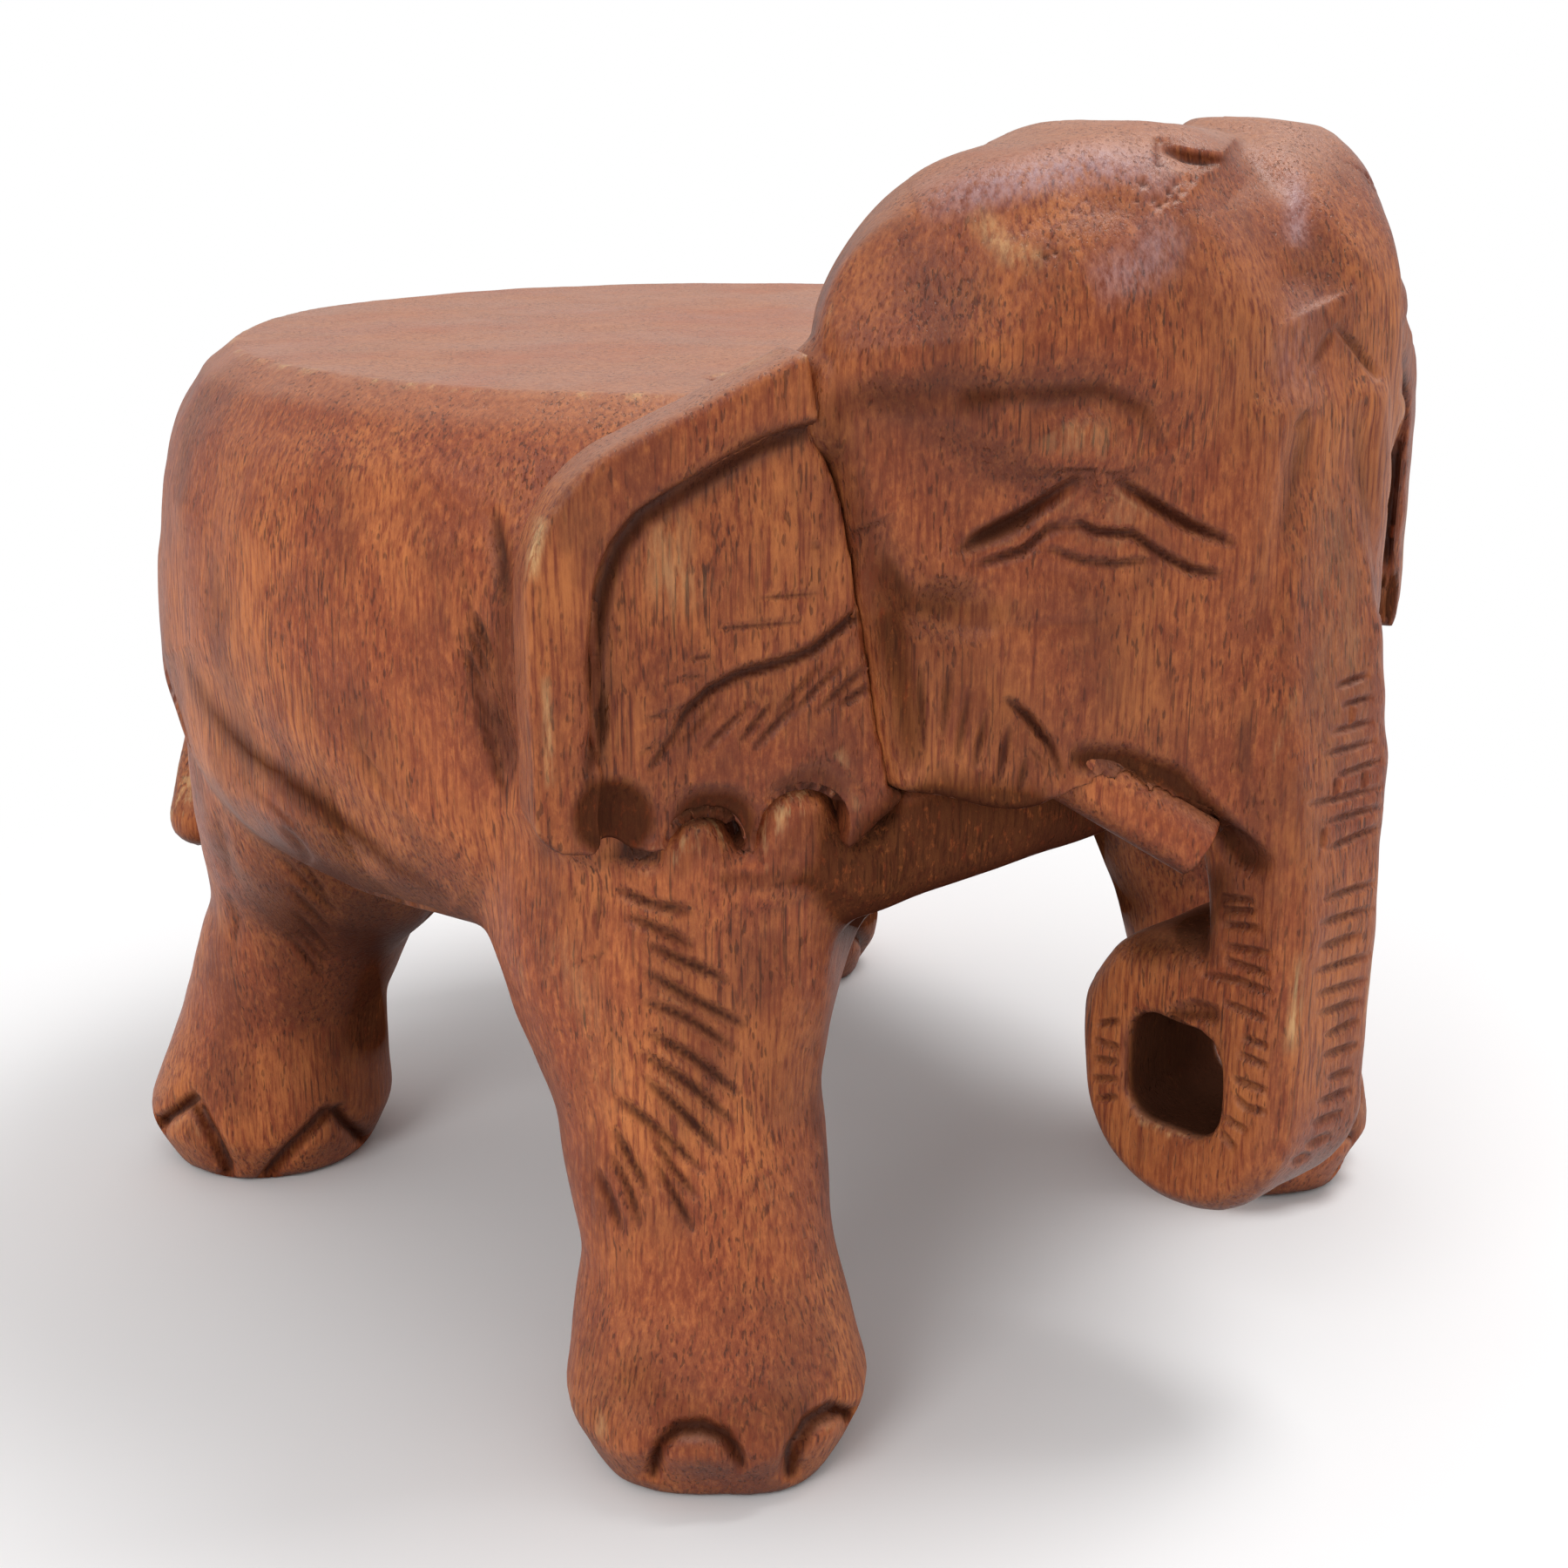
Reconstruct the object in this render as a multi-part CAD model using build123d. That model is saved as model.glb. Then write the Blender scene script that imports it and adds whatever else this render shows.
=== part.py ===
"""A low stool carved from one round of wood as a standing elephant.

The body block carries the seat and stands on four legs. The head block, in one piece with the
trunk, is housed in a notch in the front of the body and held by dowels. The two ears and the two
tusks are applied: each ear is doweled to a flat bed on the shoulder, and each tusk has a round
tenon in a socket under the cheek.

Frame: millimetres, +Z up, the elephant faces -Y, X across. The origin is on the floor, under the
middle of the overall length.
"""
from build123d import *
import math
import os

os.makedirs("parts", exist_ok=True)

# Overall sizes
STOOL_HEIGHT = 300.0  # floor to the top of the skull
TRUNK_OVERHANG = 38.0  # how far the trunk stands in front of the barrel

# Body: a barrel turned about a vertical axis, with a flat seat on top
SEAT_HEIGHT = 245.0
SEAT_RADIUS = 137.0
BARREL_RADIUS = 158.0
BARREL_WIDEST_HEIGHT = 188.0
SEAT_EDGE = 8.0  # the flat cut round the seat's edge
SEAT_EDGE_DROP = 6.0
# The hewn bands of the side: the radius and height of each one's upper edge
SIDE_BANDS = ((151.5, 228.0), (156.0, 211.0))
BELLY_TURN = 40.0  # radius of the turn from the side into the belly
BELLY_TURN_BANDS = 5
BELLY_HEIGHT = 115.0
CHEST_SETBACK = 105.0  # from the front of the trunk to where the underside starts to rise
CHEST_HEIGHT = 150.0  # the underside at the front of the barrel

# Legs: level sections with many flat sides, each leaning in towards the barrel's axis as it rises
LEG_SIDES = 18
FOOT_SPREAD_X = 105.0  # each foot's centre from the middle, sideways
FOOT_SPREAD_Y = 103.5  # and lengthways, from the barrel's axis
SOLE_RADIUS = 29.5
FOOT_RADIUS = 36.5
FOOT_HEIGHT = 16.0
ANKLE_RADIUS = 29.5
ANKLE_HEIGHT = 50.0
KNEE_RADIUS = 32.0
KNEE_HEIGHT = 86.0
THIGH_RADIUS = 41.0
HAUNCH_EXTRA = 7.0  # how much thicker a hind leg is at the thigh and hip
THIGH_HEIGHT = 124.0
HIP_RADIUS = 54.0
HIP_HEIGHT = 174.0
HIP_TUCK = 22.0
# How far the ankle, knee, thigh and hip stand in from the foot: sideways, then lengthways
FORELEG_LEAN = ((1.5, 3.5), (3.0, 13.5), (5.0, 23.5), (HIP_TUCK, 32.0))
HIND_LEG_LEAN = ((3.0, 8.0), (9.0, 24.0), (15.0, 41.0), (HIP_TUCK, 54.0))

# Tail: it lies round the rump and ends in a tuft on the right haunch
TAIL_RADIUS = 9.0
TAIL_SIDES = 8
TAIL_ROOT_HEIGHT = 206.0
TAIL_TIP_HEIGHT = 100.0
TAIL_SWING = 42.0  # degrees round the barrel from the root to the tuft
TAIL_MIDDLE_SWING = 0.72  # how much of the swing the middle of the tail has made
TAIL_MIDDLE_HEIGHT = 150.0
TAIL_LIE = 148.0  # the tail's middle from the barrel's axis, at the root
TAIL_MIDDLE_LIE = 160.0
TAIL_TIP_LIE = 166.0

# Head block. Setbacks are measured from the front of the trunk.
JAW_HEIGHT = 165.0
NOTCH_SETBACK = 121.0  # to the flat back of the head block
NAPE_HALF_WIDTH = 80.0  # the flat back
NOSE_SETBACK = 12.0  # to the face at the middle, beside the trunk's root
NOSE_HALF_WIDTH = 22.0
JAW_HALF_WIDTH = 84.0
TEMPLE_HALF_WIDTH = 98.0  # at seat height
TEMPLE_SETBACK = 62.0
FACE_SLOPE = 0.64  # how fast the face falls back as it goes outwards
FACE_ROUNDING = 26.0
TEMPLE_ROUNDING = 7.0

# The two domes of the skull: one ellipsoid a side, turned so that each faces outwards
DOME_OFFSET = 34.0
DOME_SETBACK = 55.0
DOME_CENTRE_HEIGHT = 251.5
DOME_HALF_LENGTH = 69.0
DOME_HALF_DEPTH = 36.0
DOME_TURN = 18.0  # degrees
SADDLE_HEIGHT = 297.0  # the ellipsoid that joins the domes behind the forehead
SADDLE_SETBACK = 52.0
SADDLE_HALF_LENGTH = 50.0
SADDLE_HALF_DEPTH = 30.0
NAPE_SETBACK = 46.0  # the middle of the ellipsoid that rounds off the back of both domes
NAPE_CENTRE_HEIGHT = 262.0
NAPE_HALF_LENGTH = 102.0
NAPE_HALF_DEPTH = 71.0

# Trunk
TRUNK_HALF_WIDTH = 18.5
TRUNK_DEPTH = 26.0
TRUNK_CORNER = 7.0
TRUNK_WAIST_HEIGHT = 135.0
TRUNK_ROOT_HEIGHT = 262.0
TRUNK_ROOT_SETBACK = 16.0
TRUNK_ROOT_HALF_WIDTH = 15.5
TRUNK_BROW_HEIGHT = 213.0
TRUNK_BROW_SETBACK = 10.0
TRUNK_BROW_HALF_WIDTH = 20.0
TRUNK_JAW_SETBACK = 3.0
TRUNK_JAW_HALF_WIDTH = 20.5
TRUNK_JAW_DEPTH = 32.0
LIP_HEIGHT = 150.0  # where the lip's slanting edge meets the trunk
LIP_HALF_WIDTH = 50.0  # and where it ends, under the cheek
LIP_DEPTH = 15.0
LIP_ROOT_DEPTH = 24.0  # at the middle, inside the trunk
LIP_TIP_WIDTH = 1.0
LIP_HOUSING = 1.0  # how far it runs up into the jaw
CURL_HALF_LENGTH = 30.0
CURL_HALF_HEIGHT = 34.5
CURL_HEIGHT = 87.5
CURL_BEVEL = 4.5
CURL_HOLE_WIDTH = 27.0
CURL_HOLE_HEIGHT = 27.0
CURL_HOLE_CORNER = 8.0

# Ears: flat plates with a raised rim and a scalloped hem
EAR_SWEEP = 25.0  # degrees that each ear sweeps back from straight across
EAR_THICKNESS = 16.0
EAR_ROOT_X = 89.0  # a point on the ear's face, at its root
EAR_ROOT_SETBACK = 56.0
EAR_LENGTH = 73.5
EAR_TOP_HEIGHT = 258.0
EAR_TOP_REACH = 16.0
EAR_NOTCH_REACH = 13.0  # the foot of the rim's end, against the head
EAR_NOTCH_HEIGHT = 240.0
EAR_JOINT_HEIGHT = 212.0  # where the joint with the head crosses the root
EAR_TIP_HEIGHT = 232.5
EAR_HEM_REACH = 5.0
EAR_HEM_HEIGHT = 151.0  # at the root
EAR_HEEL_REACH = -6.5  # the corner below the cheek
EAR_HEEL_HEIGHT = 162.0
EAR_LOBE_HEIGHT = 160.0  # the hem at the tip
EAR_ROUNDING = 34.0
EAR_LOBE_ROUNDING = 9.0
EAR_RIM_WIDTH = 14.5
EAR_RIM_RISE = 4.0
# The hem's scallops, from the root outwards: reach and height of the middle, and radius
SCALLOPS = ((16.0, 157.5, 9.5), (37.5, 154.5, 8.0), (57.5, 154.5, 5.5))
SCALLOP_CLEARANCE = 0.7  # round the shoulder's tongues that fill the scallops
TONGUES = 2  # the scallops that they fill, from the root
TONGUE_THICKNESS = 8.0
BED_MARGIN = 9.0  # the shoulder's bed stops this far inside the ear's outline
BED_TOP_HEIGHT = 215.0
LEDGE_HEIGHT = 150.0  # where the shoulder steps forward again, under the ear
BED_DEPTH = 34.0
BED_ROUNDING = 12.0
BED_SPREAD = 22.0  # degrees that the bed's sides spread towards the barrel

# Tusks: blunt stubs that point forwards, inwards and down
TUSK_ROOT = (46.0, 39.0, 166.0)  # sideways, setback and height of the root's middle
TUSK_TIP = (29.0, 18.0, 149.5)
TUSK_ROOT_RADIUS = 8.5
TUSK_TIP_RADIUS = 7.0
TUSK_HOUSING = 7.0  # how far the full tusk runs into the cheek
TUSK_TENON_RADIUS = 4.0
TUSK_TENON_LENGTH = 10.0

# Dowels
HEAD_DOWEL_RADIUS = 6.0
HEAD_DOWEL_LENGTH = 50.0
HEAD_DOWEL_SPREAD = 42.0  # each from the middle
HEAD_DOWEL_HEIGHT = 205.0
EAR_DOWEL_RADIUS = 3.5
EAR_DOWEL_LENGTH = 22.0
EAR_DOWEL_DEPTH = 9.0  # how much of each dowel is in the ear
EAR_DOWEL_REACH = 0.45  # along the ear
EAR_DOWEL_HEIGHTS = (182.0, 212.0)
DOWEL_CLEARANCE = 0.1
DOWEL_END_GAP = 0.8

LEFT, RIGHT = 1, -1  # the sign of X on the elephant's own left and right
FORE, HIND = -1, 1  # the sign of Y from the barrel's axis
STOOL_LENGTH = TRUNK_OVERHANG + 2 * BARREL_RADIUS  # front of the trunk to the rump
FRONT_Y = -STOOL_LENGTH / 2
BARREL_Y = STOOL_LENGTH / 2 - BARREL_RADIUS
NOTCH_Y = FRONT_Y + NOTCH_SETBACK

# The left ear's sketch planes: x runs out along the ear, y is height and the normal is forwards
EAR_OUT = Vector(math.cos(math.radians(EAR_SWEEP)), math.sin(math.radians(EAR_SWEEP)), 0)
EAR_FORWARDS = EAR_OUT.cross(Vector(0, 0, 1))
EAR_ROOT = Vector(EAR_ROOT_X, FRONT_Y + EAR_ROOT_SETBACK, 0)
EAR = Plane(origin=EAR_ROOT, x_dir=EAR_OUT, z_dir=EAR_FORWARDS)
EAR_BACK = Plane(origin=EAR_ROOT - EAR_FORWARDS * EAR_THICKNESS, x_dir=EAR_OUT, z_dir=EAR_FORWARDS)


def barrel():
    """The round of wood: a flat seat, swelling sides and a belly that turns under."""
    turn_height = BELLY_HEIGHT + BELLY_TURN
    corners = [(0, SEAT_HEIGHT), (SEAT_RADIUS, SEAT_HEIGHT)]
    corners.append((SEAT_RADIUS + SEAT_EDGE, SEAT_HEIGHT - SEAT_EDGE_DROP))
    corners += [*SIDE_BANDS, (BARREL_RADIUS, BARREL_WIDEST_HEIGHT)]
    for band in range(BELLY_TURN_BANDS + 1):
        turned = math.radians(90 * band / BELLY_TURN_BANDS)
        out = BARREL_RADIUS - BELLY_TURN * (1 - math.cos(turned))
        corners.append((out, turn_height - BELLY_TURN * math.sin(turned)))
    corners.append((0, BELLY_HEIGHT))
    turned = revolve(Plane.XZ * make_face(Polyline(*corners, close=True)), Axis.Z)
    return Location((0, BARREL_Y, 0)) * turned


def under_chest():
    """The wood cut away under the chest, so that the underside rises towards the jaw."""
    start = (FRONT_Y + CHEST_SETBACK, BELLY_HEIGHT)
    front = (BARREL_Y - BARREL_RADIUS, CHEST_HEIGHT)
    below = (front[0], BELLY_HEIGHT)
    return extrude(Plane.YZ * make_face(Polyline(start, front, below, close=True)), BARREL_RADIUS, both=True)


def leg(side, end):
    """One leg, from its sole up into the barrel."""
    leans, extra = (FORELEG_LEAN, 0) if end == FORE else (HIND_LEG_LEAN, HAUNCH_EXTRA)
    heights = (0, FOOT_HEIGHT, ANKLE_HEIGHT, KNEE_HEIGHT, THIGH_HEIGHT, HIP_HEIGHT)
    radii = (SOLE_RADIUS, FOOT_RADIUS, ANKLE_RADIUS, KNEE_RADIUS, THIGH_RADIUS + extra, HIP_RADIUS + extra)
    stands_in = ((0, 0), (0, 0)) + leans
    sections = []
    for height, radius, (inward, lean) in zip(heights, radii, stands_in):
        x = side * (FOOT_SPREAD_X - inward)
        y = BARREL_Y + end * (FOOT_SPREAD_Y - lean)
        sections.append(Location((x, y, height)) * RegularPolygon(radius, LEG_SIDES))
    return loft(sections, ruled=True)


def tail():
    """The tail, half sunk in the rump."""
    places = [
        (TAIL_ROOT_HEIGHT, TAIL_LIE, 0),
        (TAIL_MIDDLE_HEIGHT, TAIL_MIDDLE_LIE, TAIL_SWING * TAIL_MIDDLE_SWING),
        (TAIL_TIP_HEIGHT, TAIL_TIP_LIE, TAIL_SWING),
    ]
    points = []
    for height, lie, swing in places:
        turn = math.radians(90 + swing)
        points.append((lie * math.cos(turn), BARREL_Y + lie * math.sin(turn), height))
    path = ThreePointArc(*points)
    rope = sweep(Plane(origin=path @ 0, z_dir=path % 0) * RegularPolygon(TAIL_RADIUS, TAIL_SIDES), path=path)
    return rope + Location(points[-1]) * Sphere(TAIL_RADIUS)


def head_block(height, half_width):
    """A level section of the head below seat height, with a flat back for the notch."""
    temple_y = FRONT_Y + TEMPLE_SETBACK - FACE_SLOPE * (TEMPLE_HALF_WIDTH - half_width)
    nose_y = FRONT_Y + NOSE_SETBACK
    right = [(NOSE_HALF_WIDTH, nose_y), (half_width, temple_y), (NAPE_HALF_WIDTH, NOTCH_Y)]
    left = [(-x, y) for x, y in reversed(right)]
    outline = make_face(Polyline(*right, *left, close=True))
    corners = outline.vertices().sort_by(Axis.Y)
    outline = fillet(corners[:2], FACE_ROUNDING)
    temples = outline.vertices().filter_by(lambda v: abs(abs(v.X) - half_width) < 0.01)
    return Location((0, 0, height)) * fillet(temples, TEMPLE_ROUNDING)


def ellipsoid(half_length, half_depth, centre_height, top):
    """An upright ellipsoid round the origin, whose top is that far above its centre's height."""
    return scale(Sphere(1.0), by=(half_length, half_depth, top - centre_height))


def dome(side):
    turn = Location((0, 0, 0), (0, 0, side * DOME_TURN))
    place = Location((side * DOME_OFFSET, FRONT_Y + DOME_SETBACK, DOME_CENTRE_HEIGHT))
    return place * turn * ellipsoid(DOME_HALF_LENGTH, DOME_HALF_DEPTH, DOME_CENTRE_HEIGHT, STOOL_HEIGHT)


def skull():
    """The cheeks and jaw as a block with a flat back, and the crown's two domes above it."""
    block = loft([head_block(JAW_HEIGHT, JAW_HALF_WIDTH), head_block(SEAT_HEIGHT, TEMPLE_HALF_WIDTH)])
    saddle = ellipsoid(SADDLE_HALF_LENGTH, SADDLE_HALF_DEPTH, DOME_CENTRE_HEIGHT, SADDLE_HEIGHT)
    saddle = Location((0, FRONT_Y + SADDLE_SETBACK, DOME_CENTRE_HEIGHT)) * saddle
    nape = ellipsoid(NAPE_HALF_LENGTH, NAPE_HALF_DEPTH, NAPE_CENTRE_HEIGHT, STOOL_HEIGHT)
    nape = Location((0, FRONT_Y + NAPE_SETBACK, NAPE_CENTRE_HEIGHT)) * nape
    return block + ((dome(LEFT) + dome(RIGHT) + saddle) & nape)


def lip_section(height, inner, outer, front, side):
    """A level section of the lip. Its front slants back from inner to outer, at front and side."""
    right = [
        (inner, FRONT_Y + front),
        (outer, FRONT_Y + side),
        (outer, FRONT_Y + side + LIP_DEPTH),
        (inner, FRONT_Y + front + LIP_ROOT_DEPTH),
    ]
    left = [(-x, y) for x, y in reversed(right)]
    return Location((0, 0, height)) * make_face(Polyline(*right, *left, close=True))


def lip():
    """The upper lip: it slants from under the cheeks down to the sides of the trunk."""
    side = NOSE_SETBACK + FACE_SLOPE * (LIP_HALF_WIDTH - NOSE_HALF_WIDTH)
    tip_inner = TRUNK_HALF_WIDTH - LIP_TIP_WIDTH
    tip = lip_section(LIP_HEIGHT, tip_inner, TRUNK_HALF_WIDTH, TRUNK_CORNER, TRUNK_CORNER + LIP_TIP_WIDTH)
    top = lip_section(JAW_HEIGHT + LIP_HOUSING, NOSE_HALF_WIDTH, LIP_HALF_WIDTH, NOSE_SETBACK, side)
    return loft([tip, top], ruled=True)


def trunk():
    """The trunk's root on the forehead, its straight shaft, and its end rolled into a ring."""
    stations = [
        (TRUNK_ROOT_HEIGHT, TRUNK_ROOT_HALF_WIDTH, TRUNK_ROOT_SETBACK, TRUNK_DEPTH),
        (TRUNK_BROW_HEIGHT, TRUNK_BROW_HALF_WIDTH, TRUNK_BROW_SETBACK, TRUNK_DEPTH),
        (JAW_HEIGHT, TRUNK_JAW_HALF_WIDTH, TRUNK_JAW_SETBACK, TRUNK_JAW_DEPTH),
        (TRUNK_WAIST_HEIGHT, TRUNK_HALF_WIDTH, 0, TRUNK_DEPTH),
        (CURL_HEIGHT, TRUNK_HALF_WIDTH, 0, TRUNK_DEPTH),
    ]
    sections = []
    for height, half_width, front, depth in stations:
        outline = RectangleRounded(2 * half_width, depth, TRUNK_CORNER)
        sections.append(Location((0, FRONT_Y + front + depth / 2, height)) * outline)
    place = Plane(origin=(0, FRONT_Y + CURL_HALF_LENGTH, CURL_HEIGHT), x_dir=(0, 1, 0), z_dir=(1, 0, 0))
    round_end = SlotOverall(2 * CURL_HALF_HEIGHT, 2 * CURL_HALF_LENGTH, rotation=90)
    ring = extrude(place * round_end, TRUNK_HALF_WIDTH, both=True)
    rims = ring.edges().filter_by(lambda e: abs(abs(e.center().X) - TRUNK_HALF_WIDTH) < 0.01)
    ring = chamfer(rims, CURL_BEVEL)
    hole = place * RectangleRounded(CURL_HOLE_WIDTH, CURL_HOLE_HEIGHT, CURL_HOLE_CORNER)
    return loft(sections, ruled=True) + ring - extrude(hole, 2 * TRUNK_HALF_WIDTH, both=True)


def rim_corners(inset):
    """The corners of the ear's top and outer edge, or of a line inset from it."""
    slope = (EAR_TOP_HEIGHT - EAR_TIP_HEIGHT) / (EAR_LENGTH - EAR_TOP_REACH)
    drop = inset * math.hypot(1, slope)
    tip = EAR_LENGTH - inset
    return [
        (EAR_TOP_REACH, EAR_TOP_HEIGHT - drop),
        (tip, EAR_TIP_HEIGHT + slope * inset - drop),
        (tip, EAR_LOBE_HEIGHT),
    ]


def scallop_holes(count, clearance):
    """The scallops, each a round top on straight sides that run down past the hem."""
    holes = Sketch()
    for reach, height, radius in SCALLOPS[:count]:
        radius -= clearance
        holes += Location((reach, height)) * Circle(radius)
        holes += Location((reach, height - radius)) * Rectangle(2 * radius, 2 * radius)
    return holes


def ear_outline():
    """The ear seen from the front: the top slopes down to the tip and the hem is scalloped."""
    corners = [
        (EAR_HEM_REACH, EAR_HEM_HEIGHT),
        (EAR_HEEL_REACH, EAR_HEEL_HEIGHT),
        (EAR_HEEL_REACH, JAW_HEIGHT),
        (-EAR_THICKNESS, JAW_HEIGHT),
        (-EAR_THICKNESS, EAR_JOINT_HEIGHT),
        (0, EAR_JOINT_HEIGHT),
        (EAR_NOTCH_REACH, EAR_NOTCH_HEIGHT),
    ]
    outline = make_face(Polyline(*corners, *rim_corners(0), close=True))
    outer = outline.vertices().filter_by(lambda v: v.X > EAR_LENGTH - 0.01).sort_by(Axis.Y)
    outline = fillet(outer[-1], EAR_ROUNDING)
    outer = outline.vertices().filter_by(lambda v: v.X > EAR_LENGTH - 0.01).sort_by(Axis.Y)
    outline = fillet(outer[0], EAR_LOBE_ROUNDING)
    return outline - scallop_holes(len(SCALLOPS), 0)


def ear_field():
    """The sunk field of the ear, open to the head and to the hem."""
    top, tip, lobe = rim_corners(EAR_RIM_WIDTH)
    corners = [(-EAR_THICKNESS, EAR_HEM_HEIGHT), (-EAR_THICKNESS, EAR_TOP_HEIGHT), top, tip, lobe]
    corners.append((lobe[0], EAR_HEM_HEIGHT))
    field = make_face(Polyline(*corners, close=True))
    return fillet(field.vertices().filter_by(lambda v: v.X > lobe[0] - 0.01).sort_by(Axis.Y)[-1],
                  EAR_ROUNDING - EAR_RIM_WIDTH)


def bed_outline():
    """The shoulder's bed for the ear, hidden behind it."""
    length = EAR_LENGTH - 2 * BED_MARGIN
    height = BED_TOP_HEIGHT - LEDGE_HEIGHT
    outline = RectangleRounded(length, height, BED_ROUNDING)
    return Location((BED_MARGIN + length / 2, LEDGE_HEIGHT + height / 2)) * outline


def over_bed():
    """Everything in front of the bed, from the ledge up. Under the jaw it keeps to the ear."""
    near, far = -EAR_LENGTH / 2, 2 * EAR_LENGTH
    corners = [
        (EAR_HEEL_REACH, LEDGE_HEIGHT),
        (far, LEDGE_HEIGHT),
        (far, STOOL_HEIGHT),
        (near, STOOL_HEIGHT),
        (near, JAW_HEIGHT),
        (EAR_HEEL_REACH, JAW_HEIGHT),
    ]
    return make_face(Polyline(*corners, close=True))


def ear_pegs(radius, end_gap):
    """The left ear's dowels, or with a clearance their bores."""
    start = -EAR_THICKNESS + EAR_DOWEL_DEPTH + end_gap
    length = EAR_DOWEL_LENGTH + 2 * end_gap
    pegs = []
    for height in EAR_DOWEL_HEIGHTS:
        place = EAR * Location((EAR_DOWEL_REACH * EAR_LENGTH, height, start - length / 2))
        pegs.append(place * Cylinder(radius, length))
    return Compound(children=pegs)


def head_pegs(radius, end_gap):
    """The head block's dowels, or with a clearance their bores."""
    length = HEAD_DOWEL_LENGTH + 2 * end_gap
    pegs = []
    for side in (LEFT, RIGHT):
        place = Location((side * HEAD_DOWEL_SPREAD, NOTCH_Y, HEAD_DOWEL_HEIGHT), (90, 0, 0))
        pegs.append(place * Cylinder(radius, length))
    return Compound(children=pegs)


def tusk(clearance, end_gap):
    """The left tusk with its tenon, or with a clearance the socket for them."""
    x, setback, height = TUSK_ROOT
    root = Vector(x, FRONT_Y + setback, height)
    x, setback, height = TUSK_TIP
    tip = Vector(x, FRONT_Y + setback, height)
    along = (tip - root).normalized()
    shoulder = root - along * TUSK_HOUSING
    start = Plane(origin=shoulder, z_dir=along)
    stub = loft([start * Circle(TUSK_ROOT_RADIUS), Plane(origin=tip, z_dir=along) * Circle(TUSK_TIP_RADIUS)])
    tenon = extrude(start * Circle(TUSK_TENON_RADIUS + clearance), -TUSK_TENON_LENGTH - end_gap)
    return stub + tenon


body = barrel() - under_chest()
for side in (LEFT, RIGHT):
    for end in (FORE, HIND):
        body += leg(side, end)
body += tail()

head = skull() + lip() + trunk()
ear = extrude(EAR * ear_outline(), -EAR_THICKNESS) - extrude(EAR * ear_field(), -EAR_RIM_RISE)
ear = (ear - head).solids().sort_by(SortBy.VOLUME)[-1]

# Beds, sockets and bores
bed = extrude(EAR_BACK * bed_outline(), -BED_DEPTH, taper=-BED_SPREAD)
clear_of_bed = extrude(EAR_BACK * over_bed(), EAR_LENGTH)
ear_bores = ear_pegs(EAR_DOWEL_RADIUS + DOWEL_CLEARANCE, DOWEL_END_GAP)
tusk_socket = tusk(DOWEL_CLEARANCE, DOWEL_END_GAP)
body += bed + mirror(bed, about=Plane.YZ)
body -= clear_of_bed + mirror(clear_of_bed, about=Plane.YZ)
tongue = extrude(EAR_BACK * scallop_holes(TONGUES, SCALLOP_CLEARANCE), TONGUE_THICKNESS)
body += tongue + mirror(tongue, about=Plane.YZ)
body -= ear_bores + mirror(ear_bores, about=Plane.YZ)
ear -= ear_bores
head_bores = head_pegs(HEAD_DOWEL_RADIUS + DOWEL_CLEARANCE, DOWEL_END_GAP)
body -= head
body -= head_bores
head -= head_bores
head -= tusk_socket + mirror(tusk_socket, about=Plane.YZ)
body -= tusk_socket + mirror(tusk_socket, about=Plane.YZ)

left_tusk = tusk(0, 0)
left_ear_dowels = ear_pegs(EAR_DOWEL_RADIUS, 0)
export_step(body, "parts/body_block.step")
export_step(head, "parts/head_and_trunk.step")
export_step(head_pegs(HEAD_DOWEL_RADIUS, 0), "parts/head_dowels.step")
export_step(ear, "parts/left_ear.step")
export_step(mirror(ear, about=Plane.YZ), "parts/right_ear.step")
export_step(left_ear_dowels, "parts/left_ear_dowels.step")
export_step(mirror(left_ear_dowels, about=Plane.YZ), "parts/right_ear_dowels.step")
export_step(left_tusk, "parts/left_tusk.step")
export_step(mirror(left_tusk, about=Plane.YZ), "parts/right_tusk.step")
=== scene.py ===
# %% [markdown]
# # A stool carved as an elephant
#
# The stool is one round of hardwood, roughed out with an axe, carved with gouges, stained red-brown
# and waxed. The frame holds its pieces at their real size. Each visible piece here starts as a copy of
# its frame piece, is turned into an even skin of small faces, and is then carved, as the wood was.

# %% Load the frame
import math

import bpy
import numpy as np
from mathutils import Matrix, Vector


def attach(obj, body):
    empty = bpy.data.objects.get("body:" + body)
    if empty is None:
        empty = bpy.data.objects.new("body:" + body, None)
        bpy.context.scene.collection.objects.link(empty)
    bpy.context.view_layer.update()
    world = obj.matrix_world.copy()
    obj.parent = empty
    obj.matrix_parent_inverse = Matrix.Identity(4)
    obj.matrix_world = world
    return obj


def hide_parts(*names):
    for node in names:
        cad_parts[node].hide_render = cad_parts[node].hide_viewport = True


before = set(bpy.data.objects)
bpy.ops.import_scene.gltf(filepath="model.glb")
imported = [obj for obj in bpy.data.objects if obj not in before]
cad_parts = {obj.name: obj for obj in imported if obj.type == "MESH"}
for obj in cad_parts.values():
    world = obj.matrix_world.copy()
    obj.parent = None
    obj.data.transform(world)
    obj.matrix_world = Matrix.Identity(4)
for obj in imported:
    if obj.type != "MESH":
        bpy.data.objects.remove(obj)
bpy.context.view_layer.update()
MM = 0.001

# %% [markdown]
# ## Camera
#
# The camera stands in front of the stool's right shoulder, a little above it, and looks slightly down.
# Its lens and place are plain numbers, so that the same numbers can later lay out the carving.

# %% Place the camera
EYE = np.array([-392.5, -422.0, 306.0])  # millimetres
HEADING = 42.5  # degrees from +Y towards +X
PITCH = 17.9  # degrees below the horizon
LENS = 49.5
SENSOR = 36.0


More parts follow.
